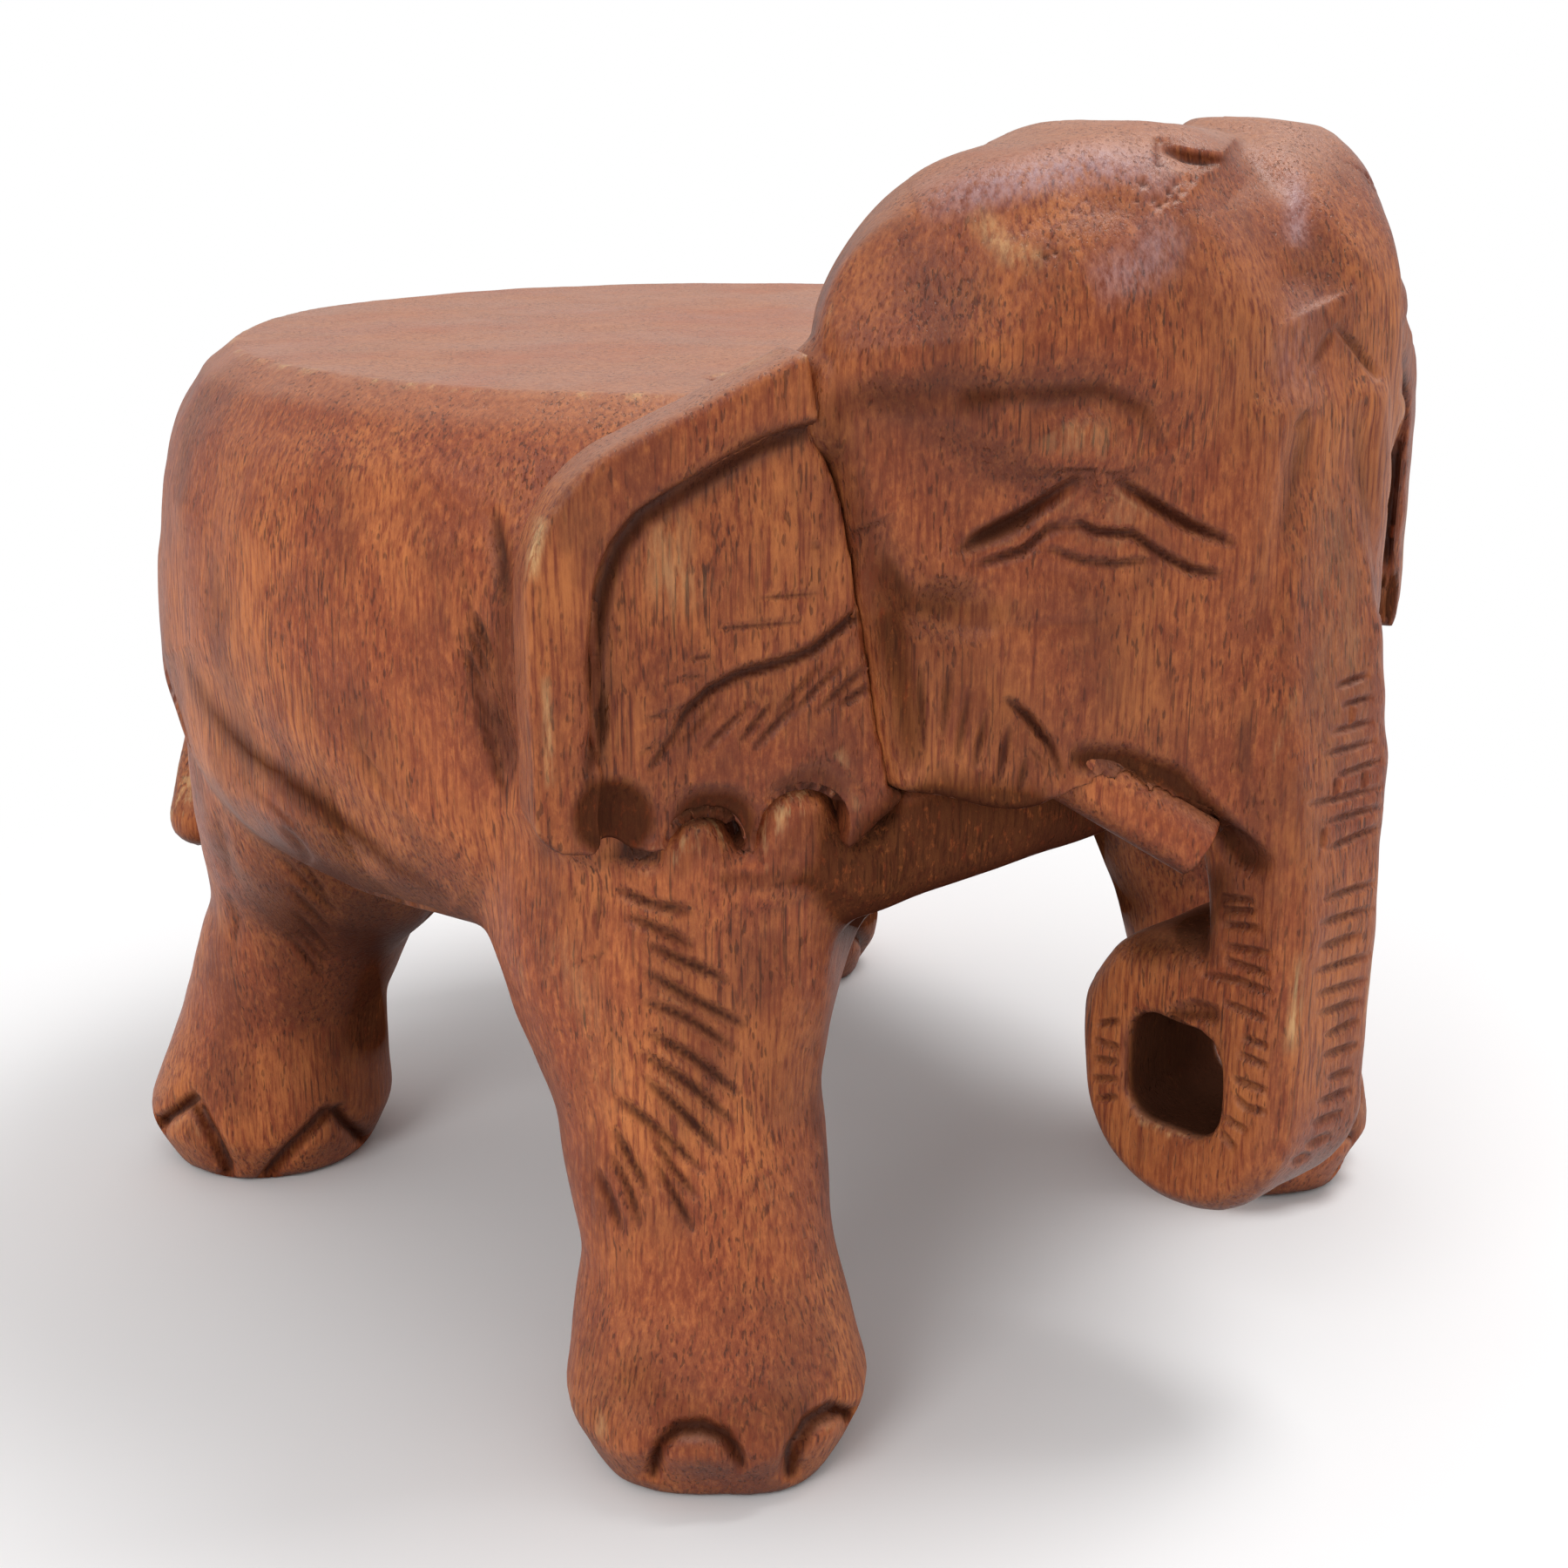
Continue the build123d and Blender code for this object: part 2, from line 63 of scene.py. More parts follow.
def new_object(name, data):
    obj = bpy.data.objects.new(name, data)
    bpy.context.scene.collection.objects.link(obj)
    return obj


camera_data = bpy.data.cameras.new("camera")
camera_data.lens = LENS
camera_data.sensor_width = SENSOR
camera_data.clip_start = 0.01
camera = new_object("camera", camera_data)
camera.location = Vector(EYE) * MM
camera.rotation_euler = (math.radians(90 - PITCH), 0, math.radians(-HEADING))
bpy.context.scene.camera = camera
print("camera at", camera.location, "with a lens of", LENS, "mm")

# %% [markdown]
# ## Floor and light
#
# The studio is a pale floor in a white room. Close to the stool the floor is paper that takes the soft
# shadow. Further off it fades to pure white, so that the camera sees no horizon. Only what the camera
# sees fades: the light that reaches the wood comes from plain paper, an even room and two soft lamps.

# %% Helpers for materials
SHARE, FIRST, SECOND, MIXED = 0, 6, 7, 2  # the sockets that a Mix node has for colours


def empty_nodes(owner):
    """Clear the nodes of a new material or world, and return a function that adds a node to it."""
    owner.use_nodes = True
    tree = owner.node_tree
    tree.nodes.clear()

    def add(kind, inputs=None, **values):
        """Add a shader node. inputs gives each socket a value, or the output that it is linked to."""
        node = tree.nodes.new("ShaderNode" + kind)
        for key, value in values.items():
            setattr(node, key, value)
        for key, value in (inputs or {}).items():
            if isinstance(value, bpy.types.NodeSocket):
                tree.links.new(value, node.inputs[key])
            else:
                node.inputs[key].default_value = value
        return node

    return add

# %% Make the studio
PAPER = (0.93, 0.93, 0.935, 1)
PAPER_ENDS = (0.24, 0.5)  # metres from the stool, where the paper starts to fade and has faded
FLOOR_SIZE = 12  # metres
ROOM_LIGHT = 0.72


def paper_material():
    material = bpy.data.materials.new("studio_paper")
    add = empty_nodes(material)
    place = add("TexCoord")
    away = add("VectorMath", {0: place.outputs["Object"]}, operation="LENGTH")
    far = add("MapRange", {"Value": away.outputs["Value"], "From Min": PAPER_ENDS[0],
                           "From Max": PAPER_ENDS[1]}, interpolation_type="SMOOTHSTEP")
    path = add("LightPath")
    seen = add("Math", {0: path.outputs["Is Camera Ray"], 1: far.outputs["Result"]}, operation="MULTIPLY")
    paper = add("BsdfDiffuse", {"Color": PAPER})
    white = add("Emission", {"Color": (1, 1, 1, 1), "Strength": 1.0})
    mixed = add("MixShader", {0: seen.outputs[0], 1: paper.outputs[0], 2: white.outputs[0]})
    add("OutputMaterial", {"Surface": mixed.outputs[0]})
    return material


bpy.ops.object.select_all(action="DESELECT")
bpy.ops.mesh.primitive_plane_add(size=FLOOR_SIZE, location=(0, 0, 0))
floor = bpy.context.object
floor.name = "studio_floor"
floor.data.materials.append(paper_material())

world = bpy.data.worlds.new("room")
bpy.context.scene.world = world
add = empty_nodes(world)
path = add("LightPath")
seen = add("Math", {0: path.outputs["Is Camera Ray"], 1: path.outputs["Is Transmission Ray"]},
           operation="MAXIMUM")
bright = add("MapRange", {"Value": seen.outputs[0], "To Min": ROOM_LIGHT, "To Max": 1.0})
room = add("Background", {"Color": (1, 1, 1, 1), "Strength": bright.outputs["Result"]})
add("OutputWorld", {"Surface": room.outputs[0]})
bpy.context.scene.view_settings.view_transform = "Standard"


def lamp(name, place, target, size, power):
    data = bpy.data.lights.new(name, "AREA")
    data.size = size
    data.energy = power
    light = new_object(name, data)
    light.location = place
    light.rotation_euler = (Vector(target) - Vector(place)).to_track_quat("-Z", "Y").to_euler()


lamp("overhead", (0.6, -0.3, 1.7), (0, 0, 0.12), 0.7, 14)
lamp("side", (-1.5, -0.5, 1.1), (0, 0, 0.15), 0.7, 8)
print("studio: a floor of", FLOOR_SIZE, "m and two lamps")

# %% [markdown]
# ## A skin that can be carved
#
# A frame piece is a shell of loose, uneven triangles, which can't be carved. Its copy is merged, and a
# voxel remesh turns it into an even skin of small squares. Roughing out is done on a coarse skin, as a
# carver starts with an axe. On the block and the head, faces that a cut reaches are divided later.

# %% Helpers for meshes
set_mode = bpy.ops.object.mode_set


def select_only(obj):
    bpy.ops.object.select_all(action="DESELECT")
    obj.select_set(True)
    bpy.context.view_layer.objects.active = obj


def apply_modifier(obj, kind, **values):
    """Add one modifier, set its values and apply it."""
    select_only(obj)
    modifier = obj.modifiers.new(kind.lower(), kind)
    for key, value in values.items():
        setattr(modifier, key, value)
    bpy.ops.object.modifier_apply(modifier=modifier.name)


def rough_skin(node, name, voxel, fills=()):
    """A copy of a frame piece as an even, coarse skin. voxel is the size of its squares in mm.

    fills are ellipsoids of wood to melt into it on both sides: each has a centre and three radii."""
    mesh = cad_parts[node].data.copy()
    mesh.materials.clear()
    obj = new_object(name, mesh)
    select_only(obj)
    set_mode(mode="EDIT")
    bpy.ops.mesh.select_all(action="SELECT")
    bpy.ops.mesh.remove_doubles(threshold=0.005 * MM)
    set_mode(mode="OBJECT")
    for (x, y, z), radii in fills:
        for side in (-1, 1):
            bpy.ops.mesh.primitive_uv_sphere_add(segments=48, ring_count=24, radius=1,
                                                 location=Vector((side * x, y, z)) * MM)
            bpy.context.object.scale = Vector(radii) * MM
            lump = bpy.context.object
            select_only(obj)
            lump.select_set(True)
            bpy.ops.object.join()
    apply_modifier(obj, "REMESH", mode="VOXEL", voxel_size=voxel * MM)
    return obj


def points_of(obj):
    """The vertices' places in millimetres, as rows of x, y and z."""
    points = np.empty(len(obj.data.vertices) * 3)
    obj.data.vertices.foreach_get("co", points)
    return points.reshape(-1, 3) / MM


def place_vertices(obj, points):
    obj.data.vertices.foreach_set("co", (points * MM).ravel())
    obj.data.update()


def normals_of(obj):
    """The directions in which the vertices face."""
    normals = np.empty(len(obj.data.vertices) * 3)
    obj.data.vertices.foreach_get("normal", normals)
    return normals.reshape(-1, 3)

# %% Helpers for sanding
SAND = 0.5  # the usual weight of one round of sanding


def relax(obj, weight, rounds, swell=0.0):
    """Move each vertex towards the middle of its neighbours, as sanding does. weight is 0 to 1.

    swell moves it back again after each round, by that share, so that a sanded piece keeps its size."""
    ends = np.empty(len(obj.data.edges) * 2, dtype=np.int64)
    obj.data.edges.foreach_get("vertices", ends)
    start, end = ends[0::2], ends[1::2]
    points = points_of(obj)
    count = len(points)
    neighbours = np.maximum(np.bincount(ends, minlength=count), 1)
    for share in (weight, -swell * weight) * rounds if swell else (weight,) * rounds:
        for axis in range(3):
            column = points[:, axis]
            total = np.bincount(start, column[end], count) + np.bincount(end, column[start], count)
            points[:, axis] = column + share * (total / neighbours - column)
    place_vertices(obj, points)


def fade(distance, reach):
    """1 at no distance, falling smoothly to 0 at reach."""
    inside = np.clip(1 - distance / reach, 0, 1)
    return inside * inside * (3 - 2 * inside)


def rise(value, low, high):
    """0 below low, 1 above high, and smooth between."""
    part = np.clip((value - low) / (high - low), 0, 1)
    return part * part * (3 - 2 * part)


def spot(obj, centre, reach):
    """For each vertex, 1 at a centre on either side of the elephant, falling to 0 at reach, in mm."""
    return fade(np.linalg.norm((np.abs(points_of(obj)) - centre) / reach, axis=1), 1.0)


def waves(points, size, seed):
    """A smooth random field from -1 to 1, whose humps are about size millimetres across."""
    dice = np.random.default_rng(seed)
    field = np.zeros(len(points))
    for _ in range(14):
        direction = dice.normal(size=3)
        direction *= 2 * math.pi / (size * np.linalg.norm(direction) * dice.uniform(0.7, 1.6))
        field += np.sin(points @ direction + dice.uniform(0, 2 * math.pi))
    return field / 5

# %% [markdown]
# ## Laying out cuts from the camera
#
# A carver draws the cuts on the wood before making them. Here they are drawn in the camera's picture:
# each cut is a line of picture points, PICTURE pixels to a side, with a width and a depth in
# millimetres. A point of the wood finds its own place in the picture and how far it is from each cut.
# The elephant is alike on both sides, so a point on the far side looks itself up as its mirror image.

# %% The camera's picture
PICTURE = 1800  # the side of the camera's picture, in pixels
FOCAL = LENS / SENSOR * PICTURE
turn, tilt = math.radians(HEADING), math.radians(PITCH)
FORWARD = np.array([math.sin(turn) * math.cos(tilt), math.cos(turn) * math.cos(tilt), -math.sin(tilt)])
RIGHTWARD = np.array([math.cos(turn), -math.sin(turn), 0.0])
UPWARD = np.cross(RIGHTWARD, FORWARD)


def in_picture(points):
    """Where points are in the picture, and how many pixels a millimetre takes there."""
    away = points - EYE
    scale = FOCAL / (away @ FORWARD)
    across = PICTURE / 2 + away @ RIGHTWARD * scale
    down = PICTURE / 2 - away @ UPWARD * scale
    return np.stack([across, down], axis=1), scale


def near_side(vectors, sides):
    """Mirror what is on the elephant's left, which the camera doesn't see, to its right."""
    near = vectors.copy()
    near[:, 0] *= -sides
    return near

# %% Kinds of cuts
def cut(line, width, depth, within=None, taper=0.35, mirrored=True, round_bottom=False, bowl=False):
    """One cut: its picture points, its width and depth in mm, and the part of the wood it is kept to.

    within holds the lowest and highest corner of a box on the near side, in mm. taper is the share of
    the line, at each end, over which the cut comes to its depth."""
    return dict(line=np.array(line, float), width=width, depth=depth, mirrored=mirrored, bowl=bowl,
                round_bottom=round_bottom or bowl, within=within, taper=taper)


def scoop(line, width, depth, within=None, taper=0.35, **values):
    """A cut with a round bottom. Stain with its painted shade, painted sheen and rubbed places are laid out
    with the same strokes.
    """
    return cut(line, width, depth, within, taper, round_bottom=True, **values)


def cuts_like(lines, width, depth, within, taper=0.35, **values):
    """Cuts of one gouge: the same width and depth for each line."""
    return [cut(line, width, depth, within, taper, **values) for line in lines]


def pits(middle, spread, count, seed, within=None, **values):
    """Small open pores, scattered round a picture point."""
    dice = np.random.default_rng(seed)
    cuts = []
    for _ in range(count):
        place = np.array(middle) + dice.normal(0, 1, 2) * spread
        cuts.append(cut([place, place + dice.normal(0, 2, 2)], dice.uniform(1.0, 1.7),
                        dice.uniform(0.4, 0.8), within, taper=0, **values))
    return cuts


def fan(first, last, count, width, depth, within, seed=1, wobble=3.0):
    """A row of cuts that turns from the first line to the last, each a little off, as by hand."""
    dice = np.random.default_rng(seed)
    first, last = np.array(first, float), np.array(last, float)
    cuts = []
    for step in np.linspace(0, 1, count):
        line = first + (last - first) * step + dice.normal(0, wobble, first.shape)
        cuts.append(cut(line, width * dice.uniform(0.8, 1.2), depth * dice.uniform(0.75, 1.2), within))
    return cuts

# %% How deep the cuts go
def along_line(places, line):
    """Each place's distance from a line of picture points, and how far along it is, from 0 to 1."""
    steps = np.linalg.norm(np.diff(line, axis=0), axis=1)
    total = steps.sum()
    nearest = np.full(len(places), np.inf)
    share = np.zeros(len(places))
    passed = 0.0
    for start, end, length in zip(line[:-1], line[1:], steps):
        part = np.clip((places - start) @ (end - start) / length**2, 0, 1)
        distance = np.linalg.norm(places - start - part[:, None] * (end - start), axis=1)
        closer = distance < nearest
        nearest[closer] = distance[closer]
        share[closer] = (passed + part[closer] * length) / total
        passed += length
    return nearest, share


def cut_depths(points, normals, cuts, spare=0.0):
    """How deep the cuts go at each point, in mm. With spare, where they reach with that much margin."""
    depths = np.zeros(len(points))
    sides = np.where(points[:, 0] > 0, 1.0, -1.0)
    looks = {}
    for mirrored in (True, False):
        seen_points = near_side(points, sides) if mirrored else points
        seen_normals = near_side(normals, sides) if mirrored else normals
        places, scale = in_picture(seen_points)
        towards = EYE - seen_points
        facing = np.einsum("ij,ij->i", seen_normals, towards) / np.linalg.norm(towards, axis=1)
        looks[mirrored] = (seen_points, places, scale, facing)
    for one in cuts:
        seen_points, places, scale, facing = looks[one["mirrored"]]
        margin = (one["width"] / 2 + spare) * scale.max()
        low, high = one["line"].min(0) - margin, one["line"].max(0) + margin
        near = (places > low).all(1) & (places < high).all(1) & (facing > 0.05)
        if one["within"] is not None:
            low, high = one["within"]
            near &= (seen_points > low).all(1) & (seen_points < high).all(1)
        which = np.flatnonzero(near)
        if len(which) == 0:
            continue
        distance, share = along_line(places[which], one["line"])
        distance = distance / scale[which] / (one["width"] / 2 + spare)
        if spare:
            depths[which] = np.maximum(depths[which], distance < 1)
            continue
        ends = np.clip(np.minimum(share, 1 - share) / one["taper"], 0, 1) if one["taper"] else 1.0
        if one["bowl"]:
            profile = np.clip(1 - distance**2, 0, 1)
        elif one["round_bottom"]:
            profile = fade(distance, 1.0)
        else:
            profile = np.clip(1 - distance, 0, 1)
        shape = one["depth"] * profile * np.sqrt(ends)
        if one["round_bottom"]:
            depths[which] += shape
        else:
            depths[which] = np.maximum(depths[which], shape)
    return depths

# %% Make the cuts
def refine(obj, cuts, times):
    """Divide the faces that the cuts reach, so that even a narrow cut has faces to shape it."""
    for _ in range(times):
        reached = cut_depths(points_of(obj), normals_of(obj), cuts, spare=1.2) > 0
        mesh = obj.data
        corners = np.empty(len(mesh.loops), dtype=np.int64)
        mesh.loops.foreach_get("vertex_index", corners)
        starts = np.empty(len(mesh.polygons), dtype=np.int64)
        mesh.polygons.foreach_get("loop_start", starts)
        chosen = np.maximum.reduceat(reached[corners], starts)
        select_only(obj)
        set_mode(mode="EDIT")
        bpy.ops.mesh.select_mode(type="FACE")
        bpy.ops.mesh.select_all(action="DESELECT")
        set_mode(mode="OBJECT")
        mesh.polygons.foreach_set("select", chosen)
        set_mode(mode="EDIT")
        bpy.ops.mesh.subdivide(number_cuts=1)
        set_mode(mode="OBJECT")


def carve(obj, cuts):
    """Make the cuts in a piece, straight into the wood."""
    points, normals = points_of(obj), normals_of(obj)
    place_vertices(obj, points - normals * cut_depths(points, normals, cuts)[:, None])

# %% [markdown]
# ## The block: seat, barrel, legs and tail
#
# The real block was cut from one round log that stands on end, so its grain runs up the legs and comes
# out as end grain on the seat. The frame's piece has the turned barrel and the four legs. On the copy,
# the joins are sanded until the legs flow into the barrel, the haunches and the chest are filled or cut
# back, and the surface gets the slight waviness of hand work.

# %% Helpers for the block
def push(points, centre, reach, vector, one_sided=False):
    """Move the points round a centre by up to vector, on both sides of the elephant."""
    sides = np.where(points[:, 0] > 0, 1.0, -1.0)
    flip = np.ones((len(points), 3))
    if not one_sided:
        flip[:, 0] = -sides
    away = (points * flip - centre) / reach
    strength = fade(np.linalg.norm(away, axis=1), 1.0)
    return points + strength[:, None] * np.array(vector) * flip


EAR_OUT = np.array([math.cos(math.radians(25)), math.sin(math.radians(25))])
EAR_FORWARDS = np.array([EAR_OUT[1], -EAR_OUT[0]])
EAR_BACK = np.array([82.2, -106.5])  # on the back of the left ear, at its root


def fill_under_ear(points):
    """Bring the foreleg out below the ear's hem, flush with the wood in the scallops."""
    flip = np.sign(points[:, 0])
    plan = np.stack([points[:, 0] * flip, points[:, 1]], axis=1) - EAR_BACK
    reach, ahead = plan @ EAR_OUT, plan @ EAR_FORWARDS
    strength = rise(points[:, 2], 88, 128) * (1 - rise(points[:, 2], 150, 153)) * fade(np.abs(reach - 27), 34)
    missing = np.where(ahead > -22, np.clip(6.7 - ahead, 0, 12), 0) * np.minimum(1, 1.6 * strength)
    filled = points.copy()
    filled[:, 0] += missing * EAR_FORWARDS[0] * flip
    filled[:, 1] += missing * EAR_FORWARDS[1]
    return filled

# %% Rough out the block
HEEL_FILL = ((-77, -104, 145), (18, 13.5, 13))  # wood under the ear's heel: centre and radii
BODY_VOXEL = 2.4
body = rough_skin("body_block", "carved_body", BODY_VOXEL, [HEEL_FILL])
points = points_of(body)
sharp = 1 - 0.9 * rise(points[:, 2], 225, 240)
place_vertices(body, push(points, (-96, 80, 112), (44, 48, 46), (2, -10, -19)))
relax(body, SAND * sharp, 6)
relax(body, SAND * sharp, 24, swell=1.04)
points = points_of(body)
outside = np.linalg.norm((np.abs(points[:, :2]) - (134, 72)) / (36, 32), axis=1)
bed_top = fade(outside, 1.0) * fade(np.abs(points[:, 2] - 218), 28) * (points[:, 1] < 0)
relax(body, SAND * np.minimum(1, 1.3 * bed_top), 24)
place_vertices(body, push(points_of(body), (-114, 66, 116), (46, 44, 36), (-6.5, -7, 0)))
thigh = spot(body, (122, 62, 128), (44, 50, 34)) * (points_of(body)[:, 1] > 0)
relax(body, SAND * thigh, 20)
print("rough block", len(body.data.vertices), "vertices")

# %% Shape the haunch, the feet and the chest
points = points_of(body)
lumps = waves(points, 34, 11) * 0.4 + waves(points, 15, 12) * 0.16
lumps *= 1 - 0.7 * rise(points[:, 2], 238, 243)
for centre, reach, vector in (
    ((-112, 118, 172), (80, 80, 40), (-2.6, 2.6, 0)),  # the haunch, outwards
    ((-112, 118, 238), (75, 75, 22), (2.2, -2.2, 0)),  # the seat's edge above it, inwards
    ((-132, -112, 4), (30, 30, 18), (2.8, 3.0, 0)),  # the forefoot's toe, inwards
    ((-62, -85, 125), (30, 34, 34), (8, -2, 0)),  # the inside of the foreleg
    ((0, -105, 130), (60, 50, 22), (0, 0, 2.4)),  # the chest, up
    ((-104, 108, 14), (48, 48, 18), (0, 0, -1.5)),  # the hind foot, down
):
    points = push(points, centre, reach, vector)
points = fill_under_ear(points)
points += normals_of(body) * lumps[:, None]
points[:, 2] = np.maximum(points[:, 2], 0)
place_vertices(body, points)
print("shaped block from", points.min(axis=0).round(1), "to", points.max(axis=0).round(1))

# %% [markdown]
# ## Cuts in the block
#
# The haunch is set off from the barrel by one long crease. Fans of V-cuts on the thighs and forelegs
# stand for wrinkled skin, and each toenail is outlined by an arch. All were made with a V-gouge, so
# they start and end shallow and are deepest in the middle.

# %% Lay out the crease and the wrinkles
HAUNCH = [(-170, 20, 60), (-20, 190, 240)]
LEG = [(-170, -10, 5), (-30, 190, 170)]
FORELEG = [(-160, -130, 25), (-50, 10, 160)]
FLANK = [(-175, -110, 110), (-90, 60, 235)]
FORE_FOOT = [(-150, -140, -5), (-60, -35, 45)]
HIND_FOOT = [(-150, 50, -5), (-60, 150, 50)]
RUMP = [(-175, -70, 60), (-20, 190, 240)]
crease = [(205, 745), (222, 780), (242, 815), (284, 862), (329, 895), (373, 929), (421, 967), (453, 996),
          (485, 1013), (523, 1034)]
body_cuts = [
    scoop(crease, 26, 2.6, RUMP, 0.25),
    cut(crease, 7, 2.0, RUMP, 0.4),
    cut([(234, 800), (268, 850), (303, 886), (364, 944)], 4, 1.2, RUMP),
    cut([(242, 833), (290, 884), (341, 938)], 3.2, 0.7, RUMP),
    cut([(246, 929), (262, 999), (278, 1020)], 6, 1.0, HAUNCH),
    cut([(258, 1020), (273, 1056), (268, 1092)], 4, 0.7, HAUNCH),
    scoop([(535, 765), (555, 810), (578, 860), (583, 930)], 12, 1.8, FLANK),
    cut([(567, 583), (576, 640), (578, 698)], 5, 1.4, FLANK),
]
body_cuts += cuts_like([
    [(542, 700), (563, 760)], [(535, 716), (562, 785)], [(530, 742), (558, 800)], [(534, 772), (566, 838)],
    [(540, 806), (574, 868)], [(550, 838), (580, 892)], [(560, 870), (584, 915)],
], 3.6, 1.5, FLANK)
body_cuts += cuts_like([
    [(282, 900), (310, 925), (345, 952)], [(300, 918), (350, 962)], [(318, 945), (360, 990)],
    [(322, 985), (350, 1015), (390, 1052)], [(345, 990), (380, 1038)], [(330, 1018), (385, 1075)],
    [(338, 1048), (386, 1102)], [(328, 1072), (372, 1124)], [(340, 1070), (376, 1108)],
], 3.2, 1.3, RUMP, 0.4)
body_cuts += fan([(400, 845), (475, 940)], [(425, 905), (500, 985)], 5, 2.4, 0.6, FLANK, seed=5)
body_cuts += fan([(520, 620), (548, 690)], [(540, 740), (560, 830)], 4, 2.6, 0.5, FLANK, seed=6)
print(len(body_cuts), "cuts laid out")

# %% Lay out the wrinkles of the forelegs, and the toenails
body_cuts += cuts_like([
    [(705, 1020), (745, 1038), (800, 1050)], [(715, 1050), (760, 1070), (800, 1090)],
    [(735, 1080), (775, 1100), (840, 1128)], [(735, 1112), (790, 1145), (860, 1180)],
    [(735, 1148), (790, 1170), (848, 1207)], [(738, 1183), (795, 1215), (852, 1257)],
    [(732, 1208), (790, 1245), (847, 1292)], [(735, 1235), (780, 1275), (832, 1326)],
    [(703, 1258), (750, 1295), (810, 1347)], [(745, 1300), (775, 1345), (803, 1378)],
    [(750, 1330), (775, 1375), (798, 1417)], [(703, 1295), (733, 1350), (748, 1378)],
    [(700, 1320), (722, 1370), (736, 1412)], [(683, 1340), (700, 1380), (714, 1417)],
], 4.2, 1.5, FORELEG, 0.3)
body_cuts += cuts_like([
    [(656, 1012), (664, 1040)], [(690, 1012), (684, 1090)], [(650, 1112), (690, 1095), (704, 1075)],
    [(700, 1150), (702, 1235)], [(672, 1330), (678, 1400)], [(690, 1360), (692, 1420)],
    [(930, 1150), (925, 1180)], [(936, 1195), (938, 1215)],
], 1.8, 0.6, FORELEG, 0.4)
body_cuts += fan([(850, 1586), (895, 1606)], [(852, 1606), (893, 1632)], 4, 1.8, 0.5, FORE_FOOT,
                 seed=10, wobble=1.5)
toenails = [
    ([(748, 1700), (756, 1660), (775, 1642), (806, 1639), (833, 1650), (856, 1688)], FORE_FOOT),
    ([(905, 1700), (914, 1664), (934, 1632), (960, 1617), (985, 1630)], FORE_FOOT),
    ([(172, 1306), (188, 1284), (226, 1256)], HIND_FOOT),
    ([(220, 1262), (242, 1304), (258, 1338), (266, 1354)], HIND_FOOT),
    ([(300, 1358), (345, 1310), (384, 1272)], HIND_FOOT),
    ([(384, 1272), (398, 1290), (420, 1312)], HIND_FOOT),
]
for line, foot in toenails:
    body_cuts.append(cut(line, 5.2, 2.4, foot, 0.12))
    body_cuts.append(scoop(line, 12, 1.1, foot, 0.12))
print(len(body_cuts), "cuts laid out")

# %% Lay out the stain and painted shade, and carve the block
# stain, and painted shade: the ear's shadow on the flank, shade on the hind leg, under the chest, on the
# forelegs and under the ear's scallops
body_stain_and_shade = [
    scoop(crease, 14, 0.3, RUMP, 0.3),
    scoop([(820, 1012), (950, 1010)], 6, 0.6, FORELEG, 0.1),
    scoop([(585, 600), (580, 760), (590, 900)], 12, 0.5, FLANK, 0.3),
    scoop([(330, 780), (400, 830), (460, 930)], 22, 0.25, FLANK, 0.3),
    scoop([(400, 960), (360, 1050), (380, 1150), (420, 1260)], 60, 0.5, LEG, 0),
    scoop([(520, 1040), (440, 1080), (430, 1180)], 30, 0.5, LEG, 0),
    scoop([(980, 990), (1100, 960), (1200, 940)], 34, 0.9, mirrored=False, taper=0),
    scoop([(1000, 1040), (1060, 990), (1140, 955), (1240, 930)], 40, 0.9, mirrored=False, taper=0),
    scoop([(1230, 960), (1290, 1040)], 26, 0.8, mirrored=False, taper=0),
    scoop([(552, 700), (555, 800), (575, 890)], 12, 0.25, FLANK, 0.3),
    scoop([(760, 1030), (800, 1180), (790, 1330)], 26, 0.3, FORELEG, 0.2),
    scoop([(890, 1060), (890, 1160), (900, 1300)], 34, 0.3, FORELEG, 0.1),
    scoop([(700, 1560), (800, 1640), (940, 1620)], 30, 0.35, FORE_FOOT, 0.1),
]
body_stain_and_shade += cuts_like([
    [(780, 1000), (806, 962), (835, 985)], [(895, 985), (930, 925), (965, 985)], [(690, 985), (730, 975)],
], 9, 0.35, FORELEG, 0, round_bottom=True)
body_rubs = [
    scoop([(640, 1070), (690, 1200), (700, 1300)], 14, 0.25, FORELEG, 0.3),
]
refine(body, body_cuts, 1)
carve(body, body_cuts)
print("carved block", len(body.data.vertices), "vertices")

# %% [markdown]
# ## The head
#
# The head is a second block, let into a notch in the barrel. Its two round domes, the hollow of the eye
# sockets and the flat cheeks run down into the rolled trunk. The frame's piece has the main shape; the
# skin is sanded until the ledge under the domes is gone, and the sockets and cheeks are then hollowed.

# %% Rough out the head
EAR_ROOT_FILL = ((-92, -108, 247), (9.5, 11.5, 13))  # wood at the top of the ear's root
HEAD_VOXEL = 1.6
CROWN = 297  # the height where the crown is held down softly
CROWN_SPARE = 2.6
head = rough_skin("head_and_trunk", "carved_head", HEAD_VOXEL, [EAR_ROOT_FILL])
points = points_of(head)
wide = np.abs(points[:, 0])
brow = 233 + 0.48 * np.clip(wide - 58, 0, 32)
ledge = fade(np.abs(points[:, 2] - brow), 20) * rise(wide, 20, 30) * (points[:, 1] < -113)
root = fade(np.abs(points[:, 2] - 258), 26) * fade(np.abs(points[:, 0]), 38) * (points[:, 1] < -130)
relax(head, SAND * np.maximum(np.minimum(1, 1.5 * ledge), np.minimum(1, 1.4 * root)), 45)
relax(head, SAND, 18, swell=1.04)
print("rough head", len(head.data.vertices), "vertices")

